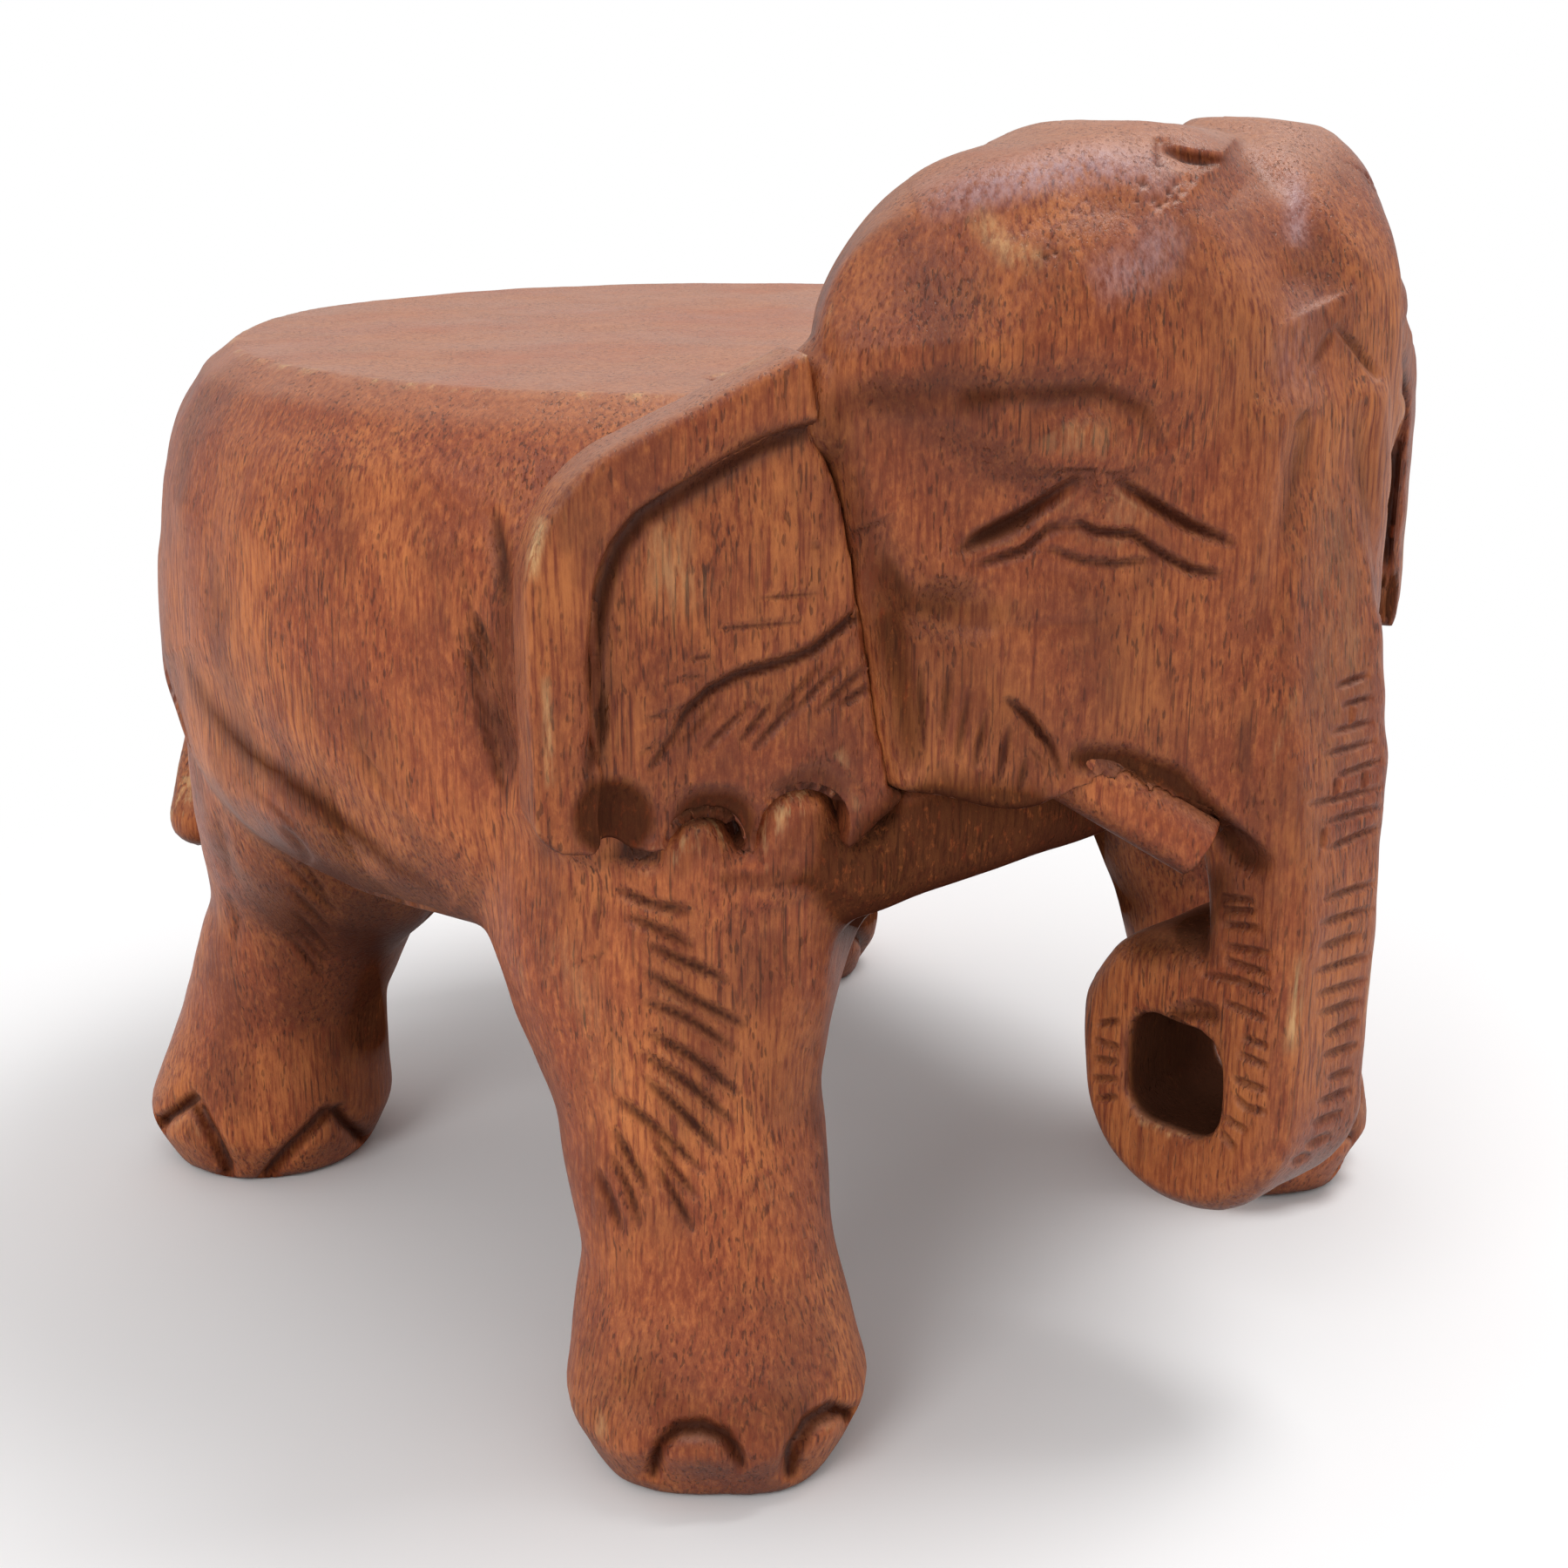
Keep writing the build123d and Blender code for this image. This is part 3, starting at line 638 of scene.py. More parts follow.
# %% Shape the domes and the trunk
points = points_of(head)
ends = rise(np.abs(points[:, 0]), 55, 98) * rise(points[:, 2], 252, 270)
points[:, 0] -= 3.0 * ends * np.sign(points[:, 0])
points[:, 1] += 2.6 * ends
for centre, reach, vector, one_sided in (
    ((-78, -90, 272), (34, 30, 26), (2.8, -2.4, 0), False),  # the domes' outer ends, rounder
    ((-61, -108, 290), (24, 26, 14), (0, 0, 2.2), False),  # the domes' shoulders, up
    ((-26, -108, 297), (34, 28, 14), (0, 0, 3.6), False),  # the domes' tops, up
    ((58, -143, 272), (36, 32, 40), (-5.0, 4.6, 0), True),  # the left dome's front, back
    ((58, -150, 256), (34, 30, 28), (-6.0, 5.4, 0), True),  # and below that
    ((56, -134, 293), (28, 26, 14), (-3.5, 3.2, -2.0), True),  # and above it
    ((12, -106, 297), (30, 22, 14), (0, 0, 4.0), True),  # the left dome's top, up
    ((72, -132, 266), (32, 32, 38), (-6.0, 5.0, 0), True),  # the left dome's end, back
    ((-12, -134, 296), (24, 20, 14), (0, 0, 2.4), True),  # the right dome's inner slope, up
):
    points = push(points, centre, reach, vector, one_sided)
held = CROWN + CROWN_SPARE * np.tanh((points[:, 2] - CROWN) / CROWN_SPARE)
points[:, 2] = np.where(points[:, 2] > CROWN, held, points[:, 2])
shaft = rise(-points[:, 1], 140, 152) * rise(points[:, 2], 140, 165) * (1 - rise(points[:, 2], 215, 245))
points[:, 0] *= 1 + 0.1 * shaft * (1 - rise(np.abs(points[:, 0]), 20, 48))
points = push(points, (-62, -134, 166), (24, 20, 14), (0, -1, -4.5))
place_vertices(head, points)
relax(head, SAND, 2)
relax(head, SAND * rise(points[:, 2], 240, 256) * rise(np.abs(points[:, 0]), 24, 40), 20, swell=1.04)
relax(head, SAND * np.minimum(1, 1.6 * spot(head, (55, 146, 234), (34, 24, 15))), 40)  # under the lid
points = points_of(head)
lumps = waves(points, 30, 21) * 0.4 + waves(points, 12, 22) * 0.14
place_vertices(head, points + normals_of(head) * lumps[:, None])
print("shaped head from", points.min(axis=0).round(1), "to", points.max(axis=0).round(1))

# %% [markdown]
# ## Cuts in the head
#
# The eye is a bulge between two lids, with long brow cuts over it. Short cuts under the cheek and rings
# round the trunk stand for wrinkled skin.

# %% Lay out the brow and the valley
FACE = [(-110, -200, 140), (-14, -60, 300)]
SIDE = [(-110, -200, 40), (2, -60, 300)]
TRUNK = [(-30, -200, 40), (30, -120, 260)]
crevice = [(1226, 870), (1290, 876), (1350, 898), (1402, 948), (1430, 984), (1458, 1000)]
head_cuts = [
    # the hollow under the brow, and the bright brow bone below it
    scoop([(960, 476), (1060, 464), (1149, 472), (1200, 476), (1263, 462), (1313, 484), (1328, 520)], 26,
        3.6, FACE, 0.25),
    scoop([(1190, 478), (1263, 466), (1313, 486)], 11, 1.2, FACE, 0.4),
    scoop([(1170, 560), (1250, 558), (1310, 572)], 18, -0.9, FACE, 0.4),
    # the crest along the top of the forehead, and the valley between the domes
    scoop([(1050, 236), (1150, 208), (1250, 183), (1312, 184), (1345, 218)], 22, -1.3, FACE, 0.25),
    scoop([(1120, 250), (1240, 225), (1330, 250)], 16, 0.7, FACE, 0.3),
    scoop([(1398, 185), (1435, 215), (1465, 258), (1492, 305), (1515, 352)], 26, 3.2, mirrored=False,
        taper=0.2),
    # eyeball
    scoop([(1205, 628), (1263, 629), (1325, 632)], 7.5, -1.4, FACE, 0.4),
]
print(len(head_cuts), "cuts laid out")

# %% Lay out the eye, the cheek and the lip
head_cuts += [
    # brow cuts
    cut([(1096, 634), (1176, 594), (1243, 551)], 4.4, 2.4, FACE),
    scoop([(1112, 628), (1160, 606), (1196, 588)], 8, 0.9, FACE),
    cut([(1112, 651), (1176, 633), (1204, 609), (1236, 602)], 3.6, 1.7, FACE),
    cut([(1218, 609), (1241, 603), (1260, 612), (1302, 615), (1325, 632), (1340, 641), (1367, 655),
         (1408, 661)], 3.2, 1.7, FACE, 0.2),
    cut([(1280, 553), (1321, 578), (1367, 605), (1422, 626)], 4.0, 2.3, FACE),
    cut([(1340, 640), (1370, 655), (1404, 661)], 3.2, 1.6, FACE),
    cut([(1183, 626), (1214, 634), (1244, 645), (1283, 649), (1321, 643), (1340, 637)], 3.0, 1.2, FACE, 0.3),
    scoop([(1180, 650), (1244, 662), (1300, 664), (1350, 655)], 9, 0.7, FACE),
    # temple crease
    scoop([(1000, 600), (1026, 660), (1050, 692), (1090, 706), (1150, 704)], 18, 3.2, FACE, 0.3),
    cut([(1010, 628), (1032, 668), (1056, 694)], 5, 1.3, FACE),
    scoop([(1075, 640), (1120, 665)], 18, -1.2, FACE),
    scoop([(1080, 725), (1163, 719), (1249, 715), (1310, 700)], 5, 0.4, FACE),
    # lip corner, the lip's edge, and the dark crevice over the tusk
    cut([(1153, 800), (1182, 826), (1207, 857), (1222, 895)], 3.4, 1.9, FACE, 0.3),
    cut([(1178, 855), (1214, 890)], 2.2, 0.9, FACE),
    scoop(crevice, 9, 2.6, SIDE, 0.1),
    # the brow's middle, down to the trunk
    cut([(1530, 379), (1506, 428)], 3, 1.0, TRUNK, mirrored=False),
    cut([(1533, 372), (1557, 399), (1584, 437)], 3, 1.3, TRUNK, mirrored=False),
    cut([(1512, 462), (1490, 495)], 2.4, 0.8, TRUNK, mirrored=False),
    scoop([(1500, 470), (1488, 560), (1474, 640), (1462, 740)], 9, 1.3, SIDE, 0.25),
    # a drying crack between the domes
    cut([(1335, 170), (1370, 180), (1415, 185)], 3.0, 2.2, mirrored=False),
    cut([(1345, 176), (1380, 190), (1410, 190)], 2.0, 1.4, mirrored=False),
]
head_cuts += cuts_like([
    [(1057, 759), (1061, 867)], [(1092, 763), (1082, 851)], [(1115, 788), (1098, 878)],
    [(1134, 813), (1119, 886)], [(1161, 828), (1145, 907)], [(1180, 865), (1170, 914)],
], 3.6, 1.3, FACE, 0.45)
print(len(head_cuts), "cuts laid out")

# %% Lay out the rings of the trunk
head_cuts += cuts_like([
    [(1573, 774), (1533, 790)], [(1576, 800), (1540, 812)], [(1577, 828), (1528, 842)],
    [(1580, 850), (1519, 868)], [(1588, 872), (1536, 892)], [(1588, 903), (1542, 916), (1500, 925)],
    [(1588, 925), (1520, 946)], [(1586, 948), (1524, 976)], [(1582, 1012), (1518, 1034)],
    [(1578, 1042), (1514, 1062)], [(1562, 1072), (1514, 1090)], [(1574, 1096), (1508, 1118)],
    [(1570, 1124), (1510, 1144)], [(1564, 1148), (1512, 1166)], [(1560, 1170), (1520, 1192)],
    [(1560, 1198), (1518, 1214)], [(1552, 1228), (1524, 1240)], [(1552, 1250), (1512, 1268)],
    [(1542, 1276), (1506, 1292)], [(1528, 1302), (1498, 1318)], [(1504, 1324), (1482, 1338)],
], 2.5, 1.1, TRUNK, 0.35, mirrored=False)
for x, high, low in ((1553, 808, 838), (1535, 893, 918), (1567, 884, 908), (1520, 950, 976)):
    head_cuts.append(cut([(x, high), (x - 2, low)], 1.8, 0.8, TRUNK, mirrored=False, taper=0.2))
# cuts on the trunk's sides and on the back of the curl
head_cuts += cuts_like([
    [(1400, 1030), (1440, 1036)], [(1402, 1045), (1442, 1046)], [(1402, 1062), (1448, 1066)],
    [(1402, 1086), (1460, 1096)], [(1404, 1102), (1458, 1120)], [(1378, 1118), (1420, 1126), (1462, 1142)],
    [(1402, 1150), (1456, 1172)], [(1424, 1190), (1456, 1203)], [(1420, 1210), (1456, 1226)],
    [(1412, 1238), (1456, 1254)], [(1416, 1258), (1430, 1272), (1456, 1278)], [(1402, 1282), (1432, 1300)],
    [(1398, 1298), (1418, 1320)], [(1258, 1176), (1286, 1172)], [(1254, 1194), (1286, 1204)],
    [(1254, 1216), (1284, 1220)], [(1252, 1238), (1284, 1240)], [(1256, 1262), (1284, 1260)],
], 2.5, 1.1, TRUNK, 0.3)
print(len(head_cuts), "cuts laid out")

# %% Lay out the pores, the stain and painted shade, the painted sheen and the rubbed places
# the gouged notch over the hole
head_cuts.append(scoop([(1340, 1166), (1370, 1160), (1400, 1168)], 7, 2.2, TRUNK))
head_cuts += pits((1213, 280), (13, 10), 9, 51, FACE)
head_cuts += pits((1322, 228), (20, 9), 12, 52)
head_cuts += pits((1420, 200), (18, 12), 9, 53, mirrored=False)
head_cuts += pits((1185, 262), (10, 8), 4, 54, FACE)
# stain, and painted shade: under the brow, along the crevices by the ear and over the tusk, under the jaw and
# round the tusk
head_stain_and_shade = [
    scoop([(950, 458), (1060, 460), (1150, 464)], 14, 0.45, FACE, 0.2),
    scoop([(1100, 456), (1200, 452), (1263, 448), (1312, 472), (1336, 516)], 8, 0.6, FACE, 0.2),
    scoop([(1350, 320), (1430, 380), (1440, 480)], 30, 0.16, mirrored=False, taper=0),
    scoop([(1100, 628), (1160, 606), (1200, 588)], 7, 0.6, FACE, 0.3),
    scoop([(1010, 640), (1045, 690), (1110, 700), (1200, 706)], 10, 0.35, FACE, 0.3),
    scoop([(945, 450), (985, 600), (1015, 700), (1035, 800), (1050, 890)], 15, 0.5, FACE, 0.1),
    scoop([(1060, 890), (1150, 915), (1215, 925)], 12, 0.6, FACE, 0.2),
    scoop(crevice, 9, 0.95, SIDE, 0.1),
    scoop([(1018, 700), (1036, 800), (1050, 890)], 11, 0.2, FACE, 0.1),
    scoop([(1060, 720), (1120, 800), (1180, 860)], 34, 0.32, FACE, 0),
    scoop([(1240, 700), (1300, 800), (1340, 860)], 30, 0.2, SIDE, 0),
    scoop([(1040, 905), (1110, 925), (1200, 930)], 9, 0.8, FACE, 0.1),
    scoop([(1290, 1090), (1400, 1080)], 16, 0.7, SIDE, 0.2),
    scoop([(1345, 1070), (1400, 1040), (1395, 990)], 14, 0.7, SIDE, 0.2),
    scoop([(1504, 470), (1484, 560), (1474, 640)], 6, 0.35, SIDE, 0.2),
    scoop([(1340, 1164), (1400, 1166)], 6, 0.7, TRUNK, 0.1),
]
# painted sheen: a lilac reflection along the crest of the domes and down the forehead
head_painted_sheen = [
    scoop([(1050, 234), (1150, 210), (1250, 188), (1312, 192), (1345, 225)], 13, 0.8, FACE, 0.3),
    scoop([(1250, 330), (1320, 300), (1350, 250)], 16, 0.5, FACE, 0.3),
    scoop([(1488, 195), (1488, 285)], 8, 0.7, mirrored=False, taper=0.3),
    scoop([(1500, 320), (1480, 420), (1520, 480)], 14, 0.2, mirrored=False, taper=0.3),
]
head_rubs = [
    scoop([(1492, 1095), (1488, 1150), (1480, 1215)], 4.5, 0.8, SIDE, 0.3),
    scoop([(1215, 490), (1250, 550), (1310, 605)], 26, 0.42, FACE, 0.2),
    scoop([(1115, 240), (1160, 290), (1200, 300)], 8, 0.5, FACE, 0.3),
    scoop([(1530, 480), (1520, 700), (1530, 900)], 10, 0.12, SIDE, 0.3),
]
print(len(head_cuts), "cuts laid out")

# %% Carve the head
refine(head, head_cuts, 1)
refine(head, [one for one in head_cuts if one["within"] == TRUNK], 1)
carve(head, head_cuts)
sanded = cut_depths(points_of(head), normals_of(head), [cut(crevice, 13, 0.6, SIDE, 0)])
relax(head, np.minimum(sanded, 0.5), 10)
print("carved head", len(head.data.vertices), "vertices")

# %% [markdown]
# ## The ears
#
# Each ear is a plate with a raised rim along its top and outer edge and a hem of three scallops. A
# fold runs across it, with hatching above and below.

# %% Lay out the ears
EAR = [(-165, -125, 140), (-80, -60, 262)]
fold = [(1019, 684), (977, 713), (935, 748), (909, 760), (849, 777), (815, 795), (789, 820), (772, 850)]
groove = [(943, 491), (866, 517), (789, 564), (738, 598), (712, 632), (697, 671), (687, 722), (682, 765),
          (689, 833), (672, 906)]  # along the inside of the raised rim
ear_cuts = [
    # the field is hollowed towards the rim
    scoop([(925, 545), (850, 560), (790, 605), (752, 650), (735, 720), (730, 800)], 22, 1.6, EAR, 0.3),
    cut(groove, 5.0, 1.5, EAR, 0.1),
    scoop([(943, 495), (866, 523), (793, 570), (744, 604), (718, 638), (703, 675), (694, 724), (688, 767),
        (692, 833), (680, 900)], 13, 1.0, EAR, 0.1),
    cut(fold, 3.6, 1.9, EAR, 0.15),
    scoop([(1010, 705), (935, 765), (850, 795), (800, 835), (770, 880)], 13, 1.2, EAR, 0.2),
    cut([(1007, 700), (1020, 773), (1033, 842), (1044, 893)], 3.6, 1.4, EAR, 0.2),
    # the dish over the outer scallop, its slot, and the scoop over the middle one
    cut([(706, 940), (714, 942)], 17, 3.0, EAR, 0, bowl=True),
    cut([(665, 962), (700, 968), (742, 986)], 3.6, 1.6, EAR, 0.15),
    cut([(806, 950), (830, 950)], 19, 2.6, EAR, 0, bowl=True),
    cut([(905, 930), (945, 905), (975, 930)], 13, 1.6, EAR, 0, bowl=True),
]
ear_cuts += cuts_like([
    [(870, 686), (941, 681)], [(823, 722), (924, 713)], [(791, 756), (819, 752)], [(753, 786), (811, 775)],
    [(734, 829), (789, 812)], [(732, 867), (764, 850)], [(932, 626), (943, 627)],
], 2.0, 0.8, EAR, 0.3)
ear_cuts += cuts_like([
    [(789, 824), (742, 889)], [(832, 799), (772, 863)], [(866, 803), (802, 867)], [(892, 801), (849, 854)],
    [(922, 799), (862, 863)], [(952, 752), (883, 829)], [(982, 747), (905, 824)], [(1003, 760), (935, 820)],
    [(1003, 786), (960, 812)],
], 3.4, 1.4, EAR)

# stain, and painted shade: in the groove and the dishes, and where the ear's inner end runs under the cheek
ear_stain_and_shade = [
    scoop(groove, 6, 0.6, EAR, 0.1),
    cut([(703, 938), (706, 940)], 19, 1.6, EAR, 0, bowl=True),
    cut([(812, 946), (830, 946)], 17, 1.4, EAR, 0, bowl=True),
    scoop([(880, 905), (940, 890), (975, 915)], 9, 0.45, EAR, 0.2),
    scoop([(1000, 715), (930, 765), (850, 800), (790, 840)], 13, 0.1, EAR, 0.15),
    scoop([(1010, 720), (1030, 850), (1040, 930)], 8, 0.5, EAR, 0.1),
    scoop([(985, 985), (1005, 955), (1045, 915)], 15, 0.95, EAR, 0),
]
ear_rubs = [
    scoop([(622, 592), (613, 640), (612, 668)], 4.2, 1.0, EAR, 0.3),
    scoop([(626, 775), (629, 850), (631, 905)], 3.0, 0.9, EAR, 0.3),
    scoop([(760, 585), (765, 660), (800, 700)], 16, 0.35, EAR, 0.3),
    scoop([(960, 860), (985, 930)], 5, 0.6, EAR, 0.3),
    scoop([(600, 560), (680, 480), (790, 440), (900, 400)], 4, 0.3, EAR, 0.2),
]
print(len(ear_cuts), "cuts laid out on each ear")

# %% Carve the ears
EAR_VOXEL = 0.95
HEEL = ((87, 114, 155), (11, 13, 14))  # centre and reach of the sanded heel
DISH = ((137, 91, 167), (12, 12, 13))  # and of the dish over the outer scallop
carved_ears = []
for side in ("right", "left"):
    ear = rough_skin(side + "_ear", "carved_" + side + "_ear", EAR_VOXEL)
    relax(ear, SAND, 4)
    relax(ear, SAND * rise(points_of(ear)[:, 2], 165, 180), 12)
    relax(ear, SAND * np.minimum(1, 1.5 * spot(ear, *HEEL)), 40)
    points = points_of(ear)
    lumps = waves(points, 17, 41) * 0.22 + waves(points, 8, 42) * 0.08
    place_vertices(ear, points + normals_of(ear) * lumps[:, None])
    carve(ear, ear_cuts)
    relax(ear, SAND * np.minimum(1, 1.5 * spot(ear, *DISH)), 24)
    carved_ears.append(ear)
    print(ear.name, len(ear.data.vertices), "vertices")

# %% [markdown]
# ## The tusks
#
# The tusks are short stubs, whittled with a knife into flat facets and glued into the lip. The frame's
# pieces have the facets, so only their edges are softened here.

# %% Carve the tusks
TUSK_VOXEL = 0.6
carved_tusks = []
for side in ("right", "left"):
    tusk = rough_skin(side + "_tusk", "carved_" + side + "_tusk", TUSK_VOXEL)
    relax(tusk, 0.4, 3)
    carved_tusks.append(tusk)
    print(tusk.name, len(tusk.data.vertices), "vertices")

# %% [markdown]
# ## Surface data for the stain, the painted shade and the painted sheen
#
# Stain gathers in the cuts, which are also darkened as painted shade; the hollows are darkened as painted
# shade, and edges are rubbed pale by hands. Six numbers per vertex tell the material where. cut is how
# deep a cut is there; the stain with its painted shade, the painted sheen and the rubbing are laid out
# with strokes of their own; hollow and edge compare the surface with a smoothed copy of itself.

# %% Store the surface data
LIMIT = 190000  # triangles in one piece
FULLY_DARK = 1.8  # a cut this deep, in mm, is as dark as cuts get
MOST_STAIN_AND_SHADE = 0.85
FULL_BEND = 0.9  # mm between the skin and its smoothed copy, at a full hollow or edge
HOLE = (-147.0, 87.5)  # the middle of the hole in the rolled trunk: y and z


def store(obj, name, values):
    attribute = obj.data.attributes.new(name, "FLOAT", "POINT")
    attribute.data.foreach_set("value", values.astype(np.float32))


def read_surface(obj, cuts, stain_and_shade_strokes=(), painted_sheen=(), rubs=()):
    """Store cut, stain with its painted shade, painted sheen, rub, hollow and edge on a carved piece, then
    thin and smooth its skin.
    """
    points, normals = points_of(obj), normals_of(obj)
    depth = cut_depths(points, normals, [one for one in cuts if not one["round_bottom"]])
    gouged = np.clip(depth / FULLY_DARK, 0, 1)
    stain_and_shade = cut_depths(points, normals, stain_and_shade_strokes)
    # the inside of the hole in the rolled trunk is darkened: stain, and painted shade
    if obj == head:
        bore = np.hypot(points[:, 1] - HOLE[0], points[:, 2] - HOLE[1])
        inside = (np.abs(points[:, 0]) < 20) & (bore < 17)
        inside = inside * rise(19 - np.abs(points[:, 0]), 0, 5)
        stain_and_shade = np.maximum(stain_and_shade, inside)
        gouged = np.maximum(gouged, inside)
    store(obj, "cut", gouged)
    store(obj, "stain_and_shade", np.clip(stain_and_shade, 0, MOST_STAIN_AND_SHADE))
    store(obj, "painted_sheen", np.clip(cut_depths(points, normals, painted_sheen), 0, 1))
    store(obj, "rub", np.clip(cut_depths(points, normals, rubs), 0, 1))
    relax(obj, 0.6, 14)
    bend = np.einsum("ij,ij->i", points_of(obj) - points, normals)
    place_vertices(obj, points)
    store(obj, "hollow", np.clip(bend / FULL_BEND, 0, 1))
    store(obj, "edge", np.clip(-bend / FULL_BEND, 0, 1))
    triangles = sum(len(face.vertices) - 2 for face in obj.data.polygons)
    if triangles > LIMIT:
        apply_modifier(obj, "DECIMATE", ratio=LIMIT / triangles)
    select_only(obj)
    bpy.ops.object.shade_smooth()
    print(obj.name, len(obj.data.polygons), "faces, hollow up to", round(float(bend.max()), 2), "mm")


read_surface(body, body_cuts, body_stain_and_shade, (), body_rubs)
read_surface(head, head_cuts, head_stain_and_shade, head_painted_sheen, head_rubs)
for ear in carved_ears:
    read_surface(ear, ear_cuts, ear_stain_and_shade, (), ear_rubs)
for tusk in carved_tusks:
    read_surface(tusk, [])

# %% [markdown]
# ## Stained and waxed wood
#
# The wood is brushed with a red-brown stain and waxed. Upright fibres show as fine streaks, with dark
# open pores a few millimetres long. The stain is darkest in the cuts, where shade is painted as well,
# thin on the edges, and patchy elsewhere, where orange wood shows through; hollows and undersides get
# painted shade, and the domes and forehead a painted lilac sheen. On the seat and the crown the fibres
# end, so the streaks give way to a fine grain of dots.

# %% Mix the stained wood
def stained_wood(name, seed, light=1.0):
    material = bpy.data.materials.new(name)
    add = empty_nodes(material)
    place = add("TexCoord").outputs["Object"]

    def noise(size, stretch, detail=2.0, rough=0.5, shift=0.0):
        """A noise from 0 to 1 with humps of size mm, stretch times as long upright."""
        scale = 1000 / size
        where = add("Mapping", {"Vector": place, "Location": (seed + shift, seed, shift),
                                "Scale": (scale, scale, scale / stretch)})
        field = add("TexNoise", {"Vector": where.outputs[0], "Scale": 1.0, "Detail": detail,
                                 "Roughness": rough})
        return field.outputs["Fac"]

    def ramp(value, low, high, top=1.0, bottom=0.0):
        """From bottom where value is low to top where it is high."""
        return add("MapRange", {"Value": value, "From Min": low, "From Max": high, "To Min": bottom,
                                "To Max": top}).outputs["Result"]

    def blend(share, first, second):
        mixed = add("Mix", {SHARE: share, FIRST: first, SECOND: second}, data_type="RGBA")
        return mixed.outputs[MIXED]

    def combine(operation, first, second):
        return add("Math", {0: first, 1: second}, operation=operation).outputs[0]

    def times(first, second):
        return combine("MULTIPLY", first, second)

    def attribute(which):
        return add("Attribute", attribute_name=which).outputs["Fac"]

    # how far the surface faces up, where the fibres end
    normal = add("TexCoord").outputs["Normal"]
    up = add("SeparateXYZ", {0: normal}).outputs[2]
    end_grain = ramp(up, 0.55, 0.95)

    red = (0.20 * light, 0.038 * light, 0.015 * light, 1)
    sienna = (0.38 * light, 0.096 * light, 0.032 * light, 1)
    orange = (0.58 * light, 0.188 * light, 0.054 * light, 1)
    pale = (0.66, 0.40, 0.18, 1)
    dark = (0.036, 0.010, 0.006, 1)
    # the colour of the stain and its painted shade
    dark_stain_and_shade = (0.050, 0.018, 0.010, 1)
    deep = (0.105 * light, 0.026 * light, 0.013 * light, 1)
    tan = (0.42, 0.175, 0.090, 1)
    # the colour of the painted sheen
    sheen_lilac = (0.40, 0.25, 0.26, 1)

    patches = noise(38, 1.7, 4.0, 0.6)
    mottle = noise(1.5, 2.4, 4.0, 0.7, 3.7)
    fibres = noise(1.0, 16, 3.0, 0.6)
    lines = noise(0.7, 42, 2.0, 0.5, 6.3)
    shade = noise(24, 1.8, 4.0, 0.65, 9.1)
    colour = blend(ramp(mottle, 0.28, 0.66), red, sienna)
    colour = blend(times(ramp(patches, 0.42, 0.60), ramp(fibres, 0.34, 0.62, 0.85)), colour, orange)
    colour = blend(times(ramp(mottle, 0.48, 0.72, 0.6), ramp(fibres, 0.4, 0.6)), colour, orange)
    colour = blend(ramp(fibres, 0.46, 0.30, 0.75), colour, red)
    colour = blend(ramp(shade, 0.48, 0.64, 0.42), colour, deep)
    colour = blend(times(ramp(lines, 0.58, 0.66, 0.65), ramp(noise(22, 1.6, 2.0, 0.5, 4.4), 0.42, 0.58)),
                   colour, dark)
    # end grain: tan, with soft blotches and fine dots
    colour = blend(times(end_grain, 0.75), colour, tan)
    colour = blend(times(end_grain, ramp(noise(40, 1.0, 3.0, 0.6, 2.2), 0.45, 0.65, 0.5)), colour, sienna)
    colour = blend(times(end_grain, ramp(mottle, 0.52, 0.36, 0.4)), colour, red)
    # open pores: short dark dashes
    pores = ramp(noise(0.75, 4.5, 1.0, 0.4, 7.7), 0.60, 0.70)
    sparse = ramp(noise(9, 3.0, 2.0, 0.5, 1.3), 0.36, 0.6)
    pore = times(pores, sparse)
    colour = blend(times(pore, 0.6), colour, dark)
    # painted shade in the hollows, stain and painted shade in the cuts and along the stain strokes, a painted
    # sheen, and wear on the edges
    hollow, edge, gouge = attribute("hollow"), attribute("edge"), attribute("cut")
    # painted shade in the hollows
    colour = blend(ramp(hollow, 0.08, 0.8, 0.8), colour, dark)
    # stain and painted shade in the cuts
    colour = blend(ramp(gouge, 0.1, 1.0, 0.7), colour, dark)
    stain_and_shade = attribute("stain_and_shade")
    # stain and painted shade along their strokes
    colour = blend(times(stain_and_shade, ramp(mottle, 0.20, 0.46)), colour, dark_stain_and_shade)
    # painted sheen: a lilac reflection along its strokes
    painted_sheen_share = times(attribute("painted_sheen"), ramp(mottle, 0.30, 0.60))
    colour = blend(painted_sheen_share, colour, sheen_lilac)
    clean = times(ramp(gouge, 0.4, 0.0), times(ramp(stain_and_shade, 0.45, 0.05), ramp(up, -0.25, 0.1)))
    worn = times(times(ramp(edge, 0.45, 1.0), clean), ramp(noise(5.0, 6, 4.0, 0.75, 6.1), 0.52, 0.64, 0.7))
    colour = blend(worn, colour, pale)
    rubbed = times(attribute("rub"), ramp(noise(1.6, 9, 4.0, 0.7, 8.8), 0.36, 0.60))
    colour = blend(times(rubbed, clean), colour, pale)
    # painted shade: the surfaces that face down are darkened
    colour = blend(ramp(up, -0.15, -0.75, 0.75), colour, dark)

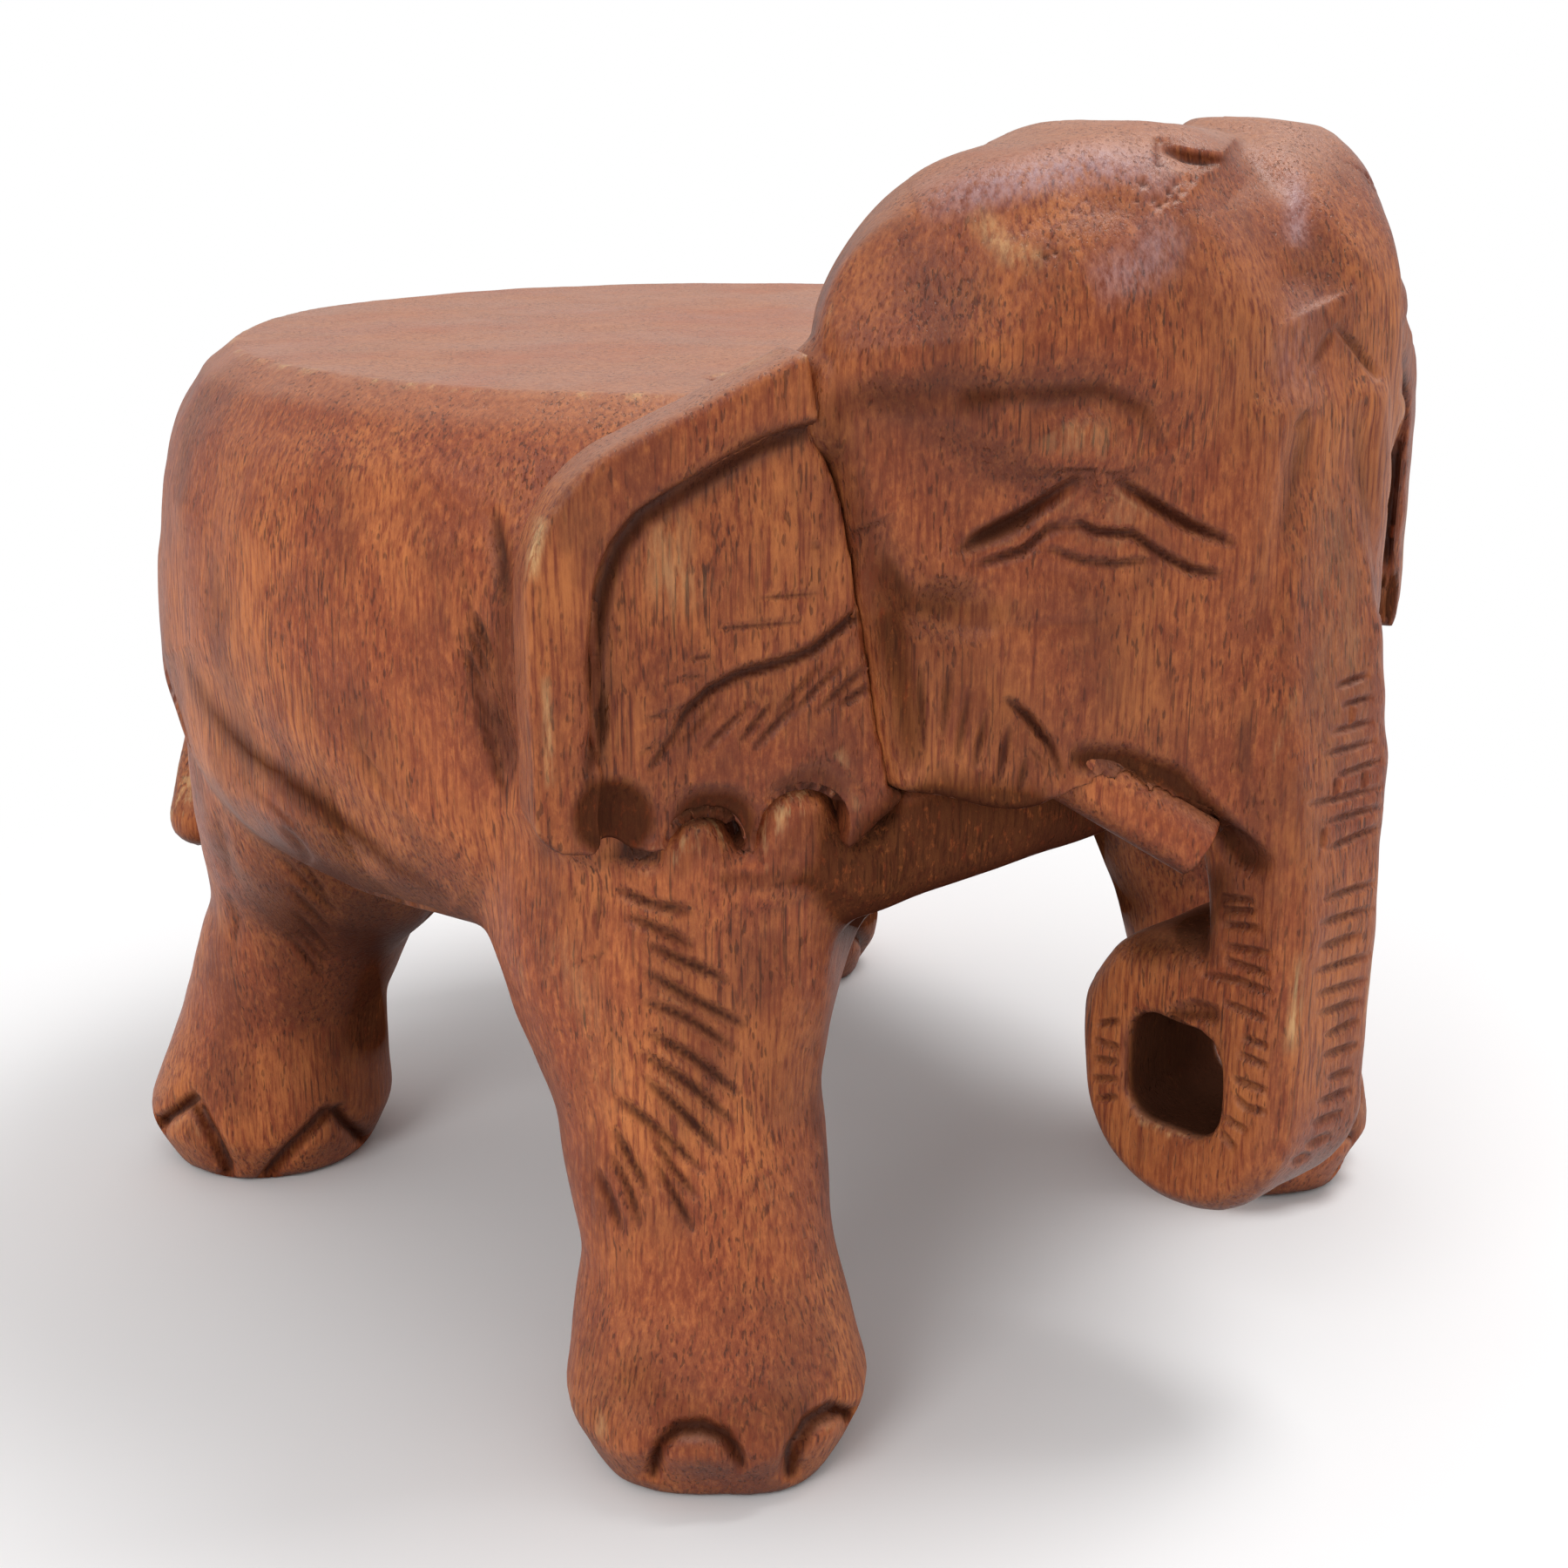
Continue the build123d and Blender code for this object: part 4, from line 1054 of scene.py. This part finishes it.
    rough = ramp(patches, 0.3, 0.7, 0.52, 0.38)
    polish = times(ramp(up, 0.2, 0.9, 0.62, 0.22), times(ramp(gouge, 1.0, 0.2), ramp(stain_and_shade, 0.75, 0.2)))
    relief = combine("ADD", times(fibres, 0.4), times(mottle, 0.9))
    relief = combine("SUBTRACT", relief, times(pore, 0.9))
    bump = add("Bump", {"Height": relief, "Strength": 0.5, "Distance": 0.0007})
    wood = add("BsdfPrincipled", {"Base Color": colour, "Roughness": rough,
                                  "Normal": bump.outputs["Normal"], "Specular IOR Level": polish})
    add("OutputMaterial", {"Surface": wood.outputs[0]})
    return material


def plain_dowel():
    """Turned hardwood without stain: pale, with fine streaks along the dowel."""
    material = bpy.data.materials.new("dowel_hardwood")
    add = empty_nodes(material)
    place = add("TexCoord").outputs["Object"]
    where = add("Mapping", {"Vector": place, "Scale": (900, 60, 900)})
    streaks = add("TexNoise", {"Vector": where.outputs[0], "Scale": 1.0, "Detail": 3.0})
    colour = add("Mix", {SHARE: streaks.outputs["Fac"], FIRST: (0.5, 0.31, 0.16, 1),
                        SECOND: (0.72, 0.52, 0.31, 1)}, data_type="RGBA")
    bump = add("Bump", {"Height": streaks.outputs["Fac"], "Strength": 0.2, "Distance": 0.0002})
    wood = add("BsdfPrincipled", {"Base Color": colour.outputs[MIXED], "Roughness": 0.55,
                                  "Normal": bump.outputs["Normal"]})
    add("OutputMaterial", {"Surface": wood.outputs[0]})
    return material

# %% [markdown]
# ## Handing the pieces over
#
# A carved piece stands for its frame piece, rides on the same body and takes its finish slot. Each
# block has wood of its own; the head's, the ears' and the tusks' colours are made darker than the
# block's. The dowels keep their frame pieces and get plain hardwood.

# %% Give each piece its wood and its place in the frame
def hand_over(piece, node, material):
    piece.data.materials.clear()
    piece.data.materials.append(material)
    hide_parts(node)
    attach(piece, "root")


hand_over(body, "body_block", stained_wood("stained_body", 0.0))
hand_over(head, "head_and_trunk", stained_wood("stained_head", 13.0, 0.81))
ear_wood = stained_wood("stained_ear", 29.0, 0.8)
tusk_wood = stained_wood("stained_tusk", 41.0, 0.95)
for side, ear, tusk in zip(("right", "left"), carved_ears, carved_tusks):
    hand_over(ear, side + "_ear", ear_wood)
    hand_over(tusk, side + "_tusk", tusk_wood)
dowel_wood = plain_dowel()
for name in ("head_dowels", "left_ear_dowels", "right_ear_dowels"):
    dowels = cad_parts[name]
    dowels.data.materials.clear()
    dowels.data.materials.append(dowel_wood)
print(len(bpy.data.materials), "materials")
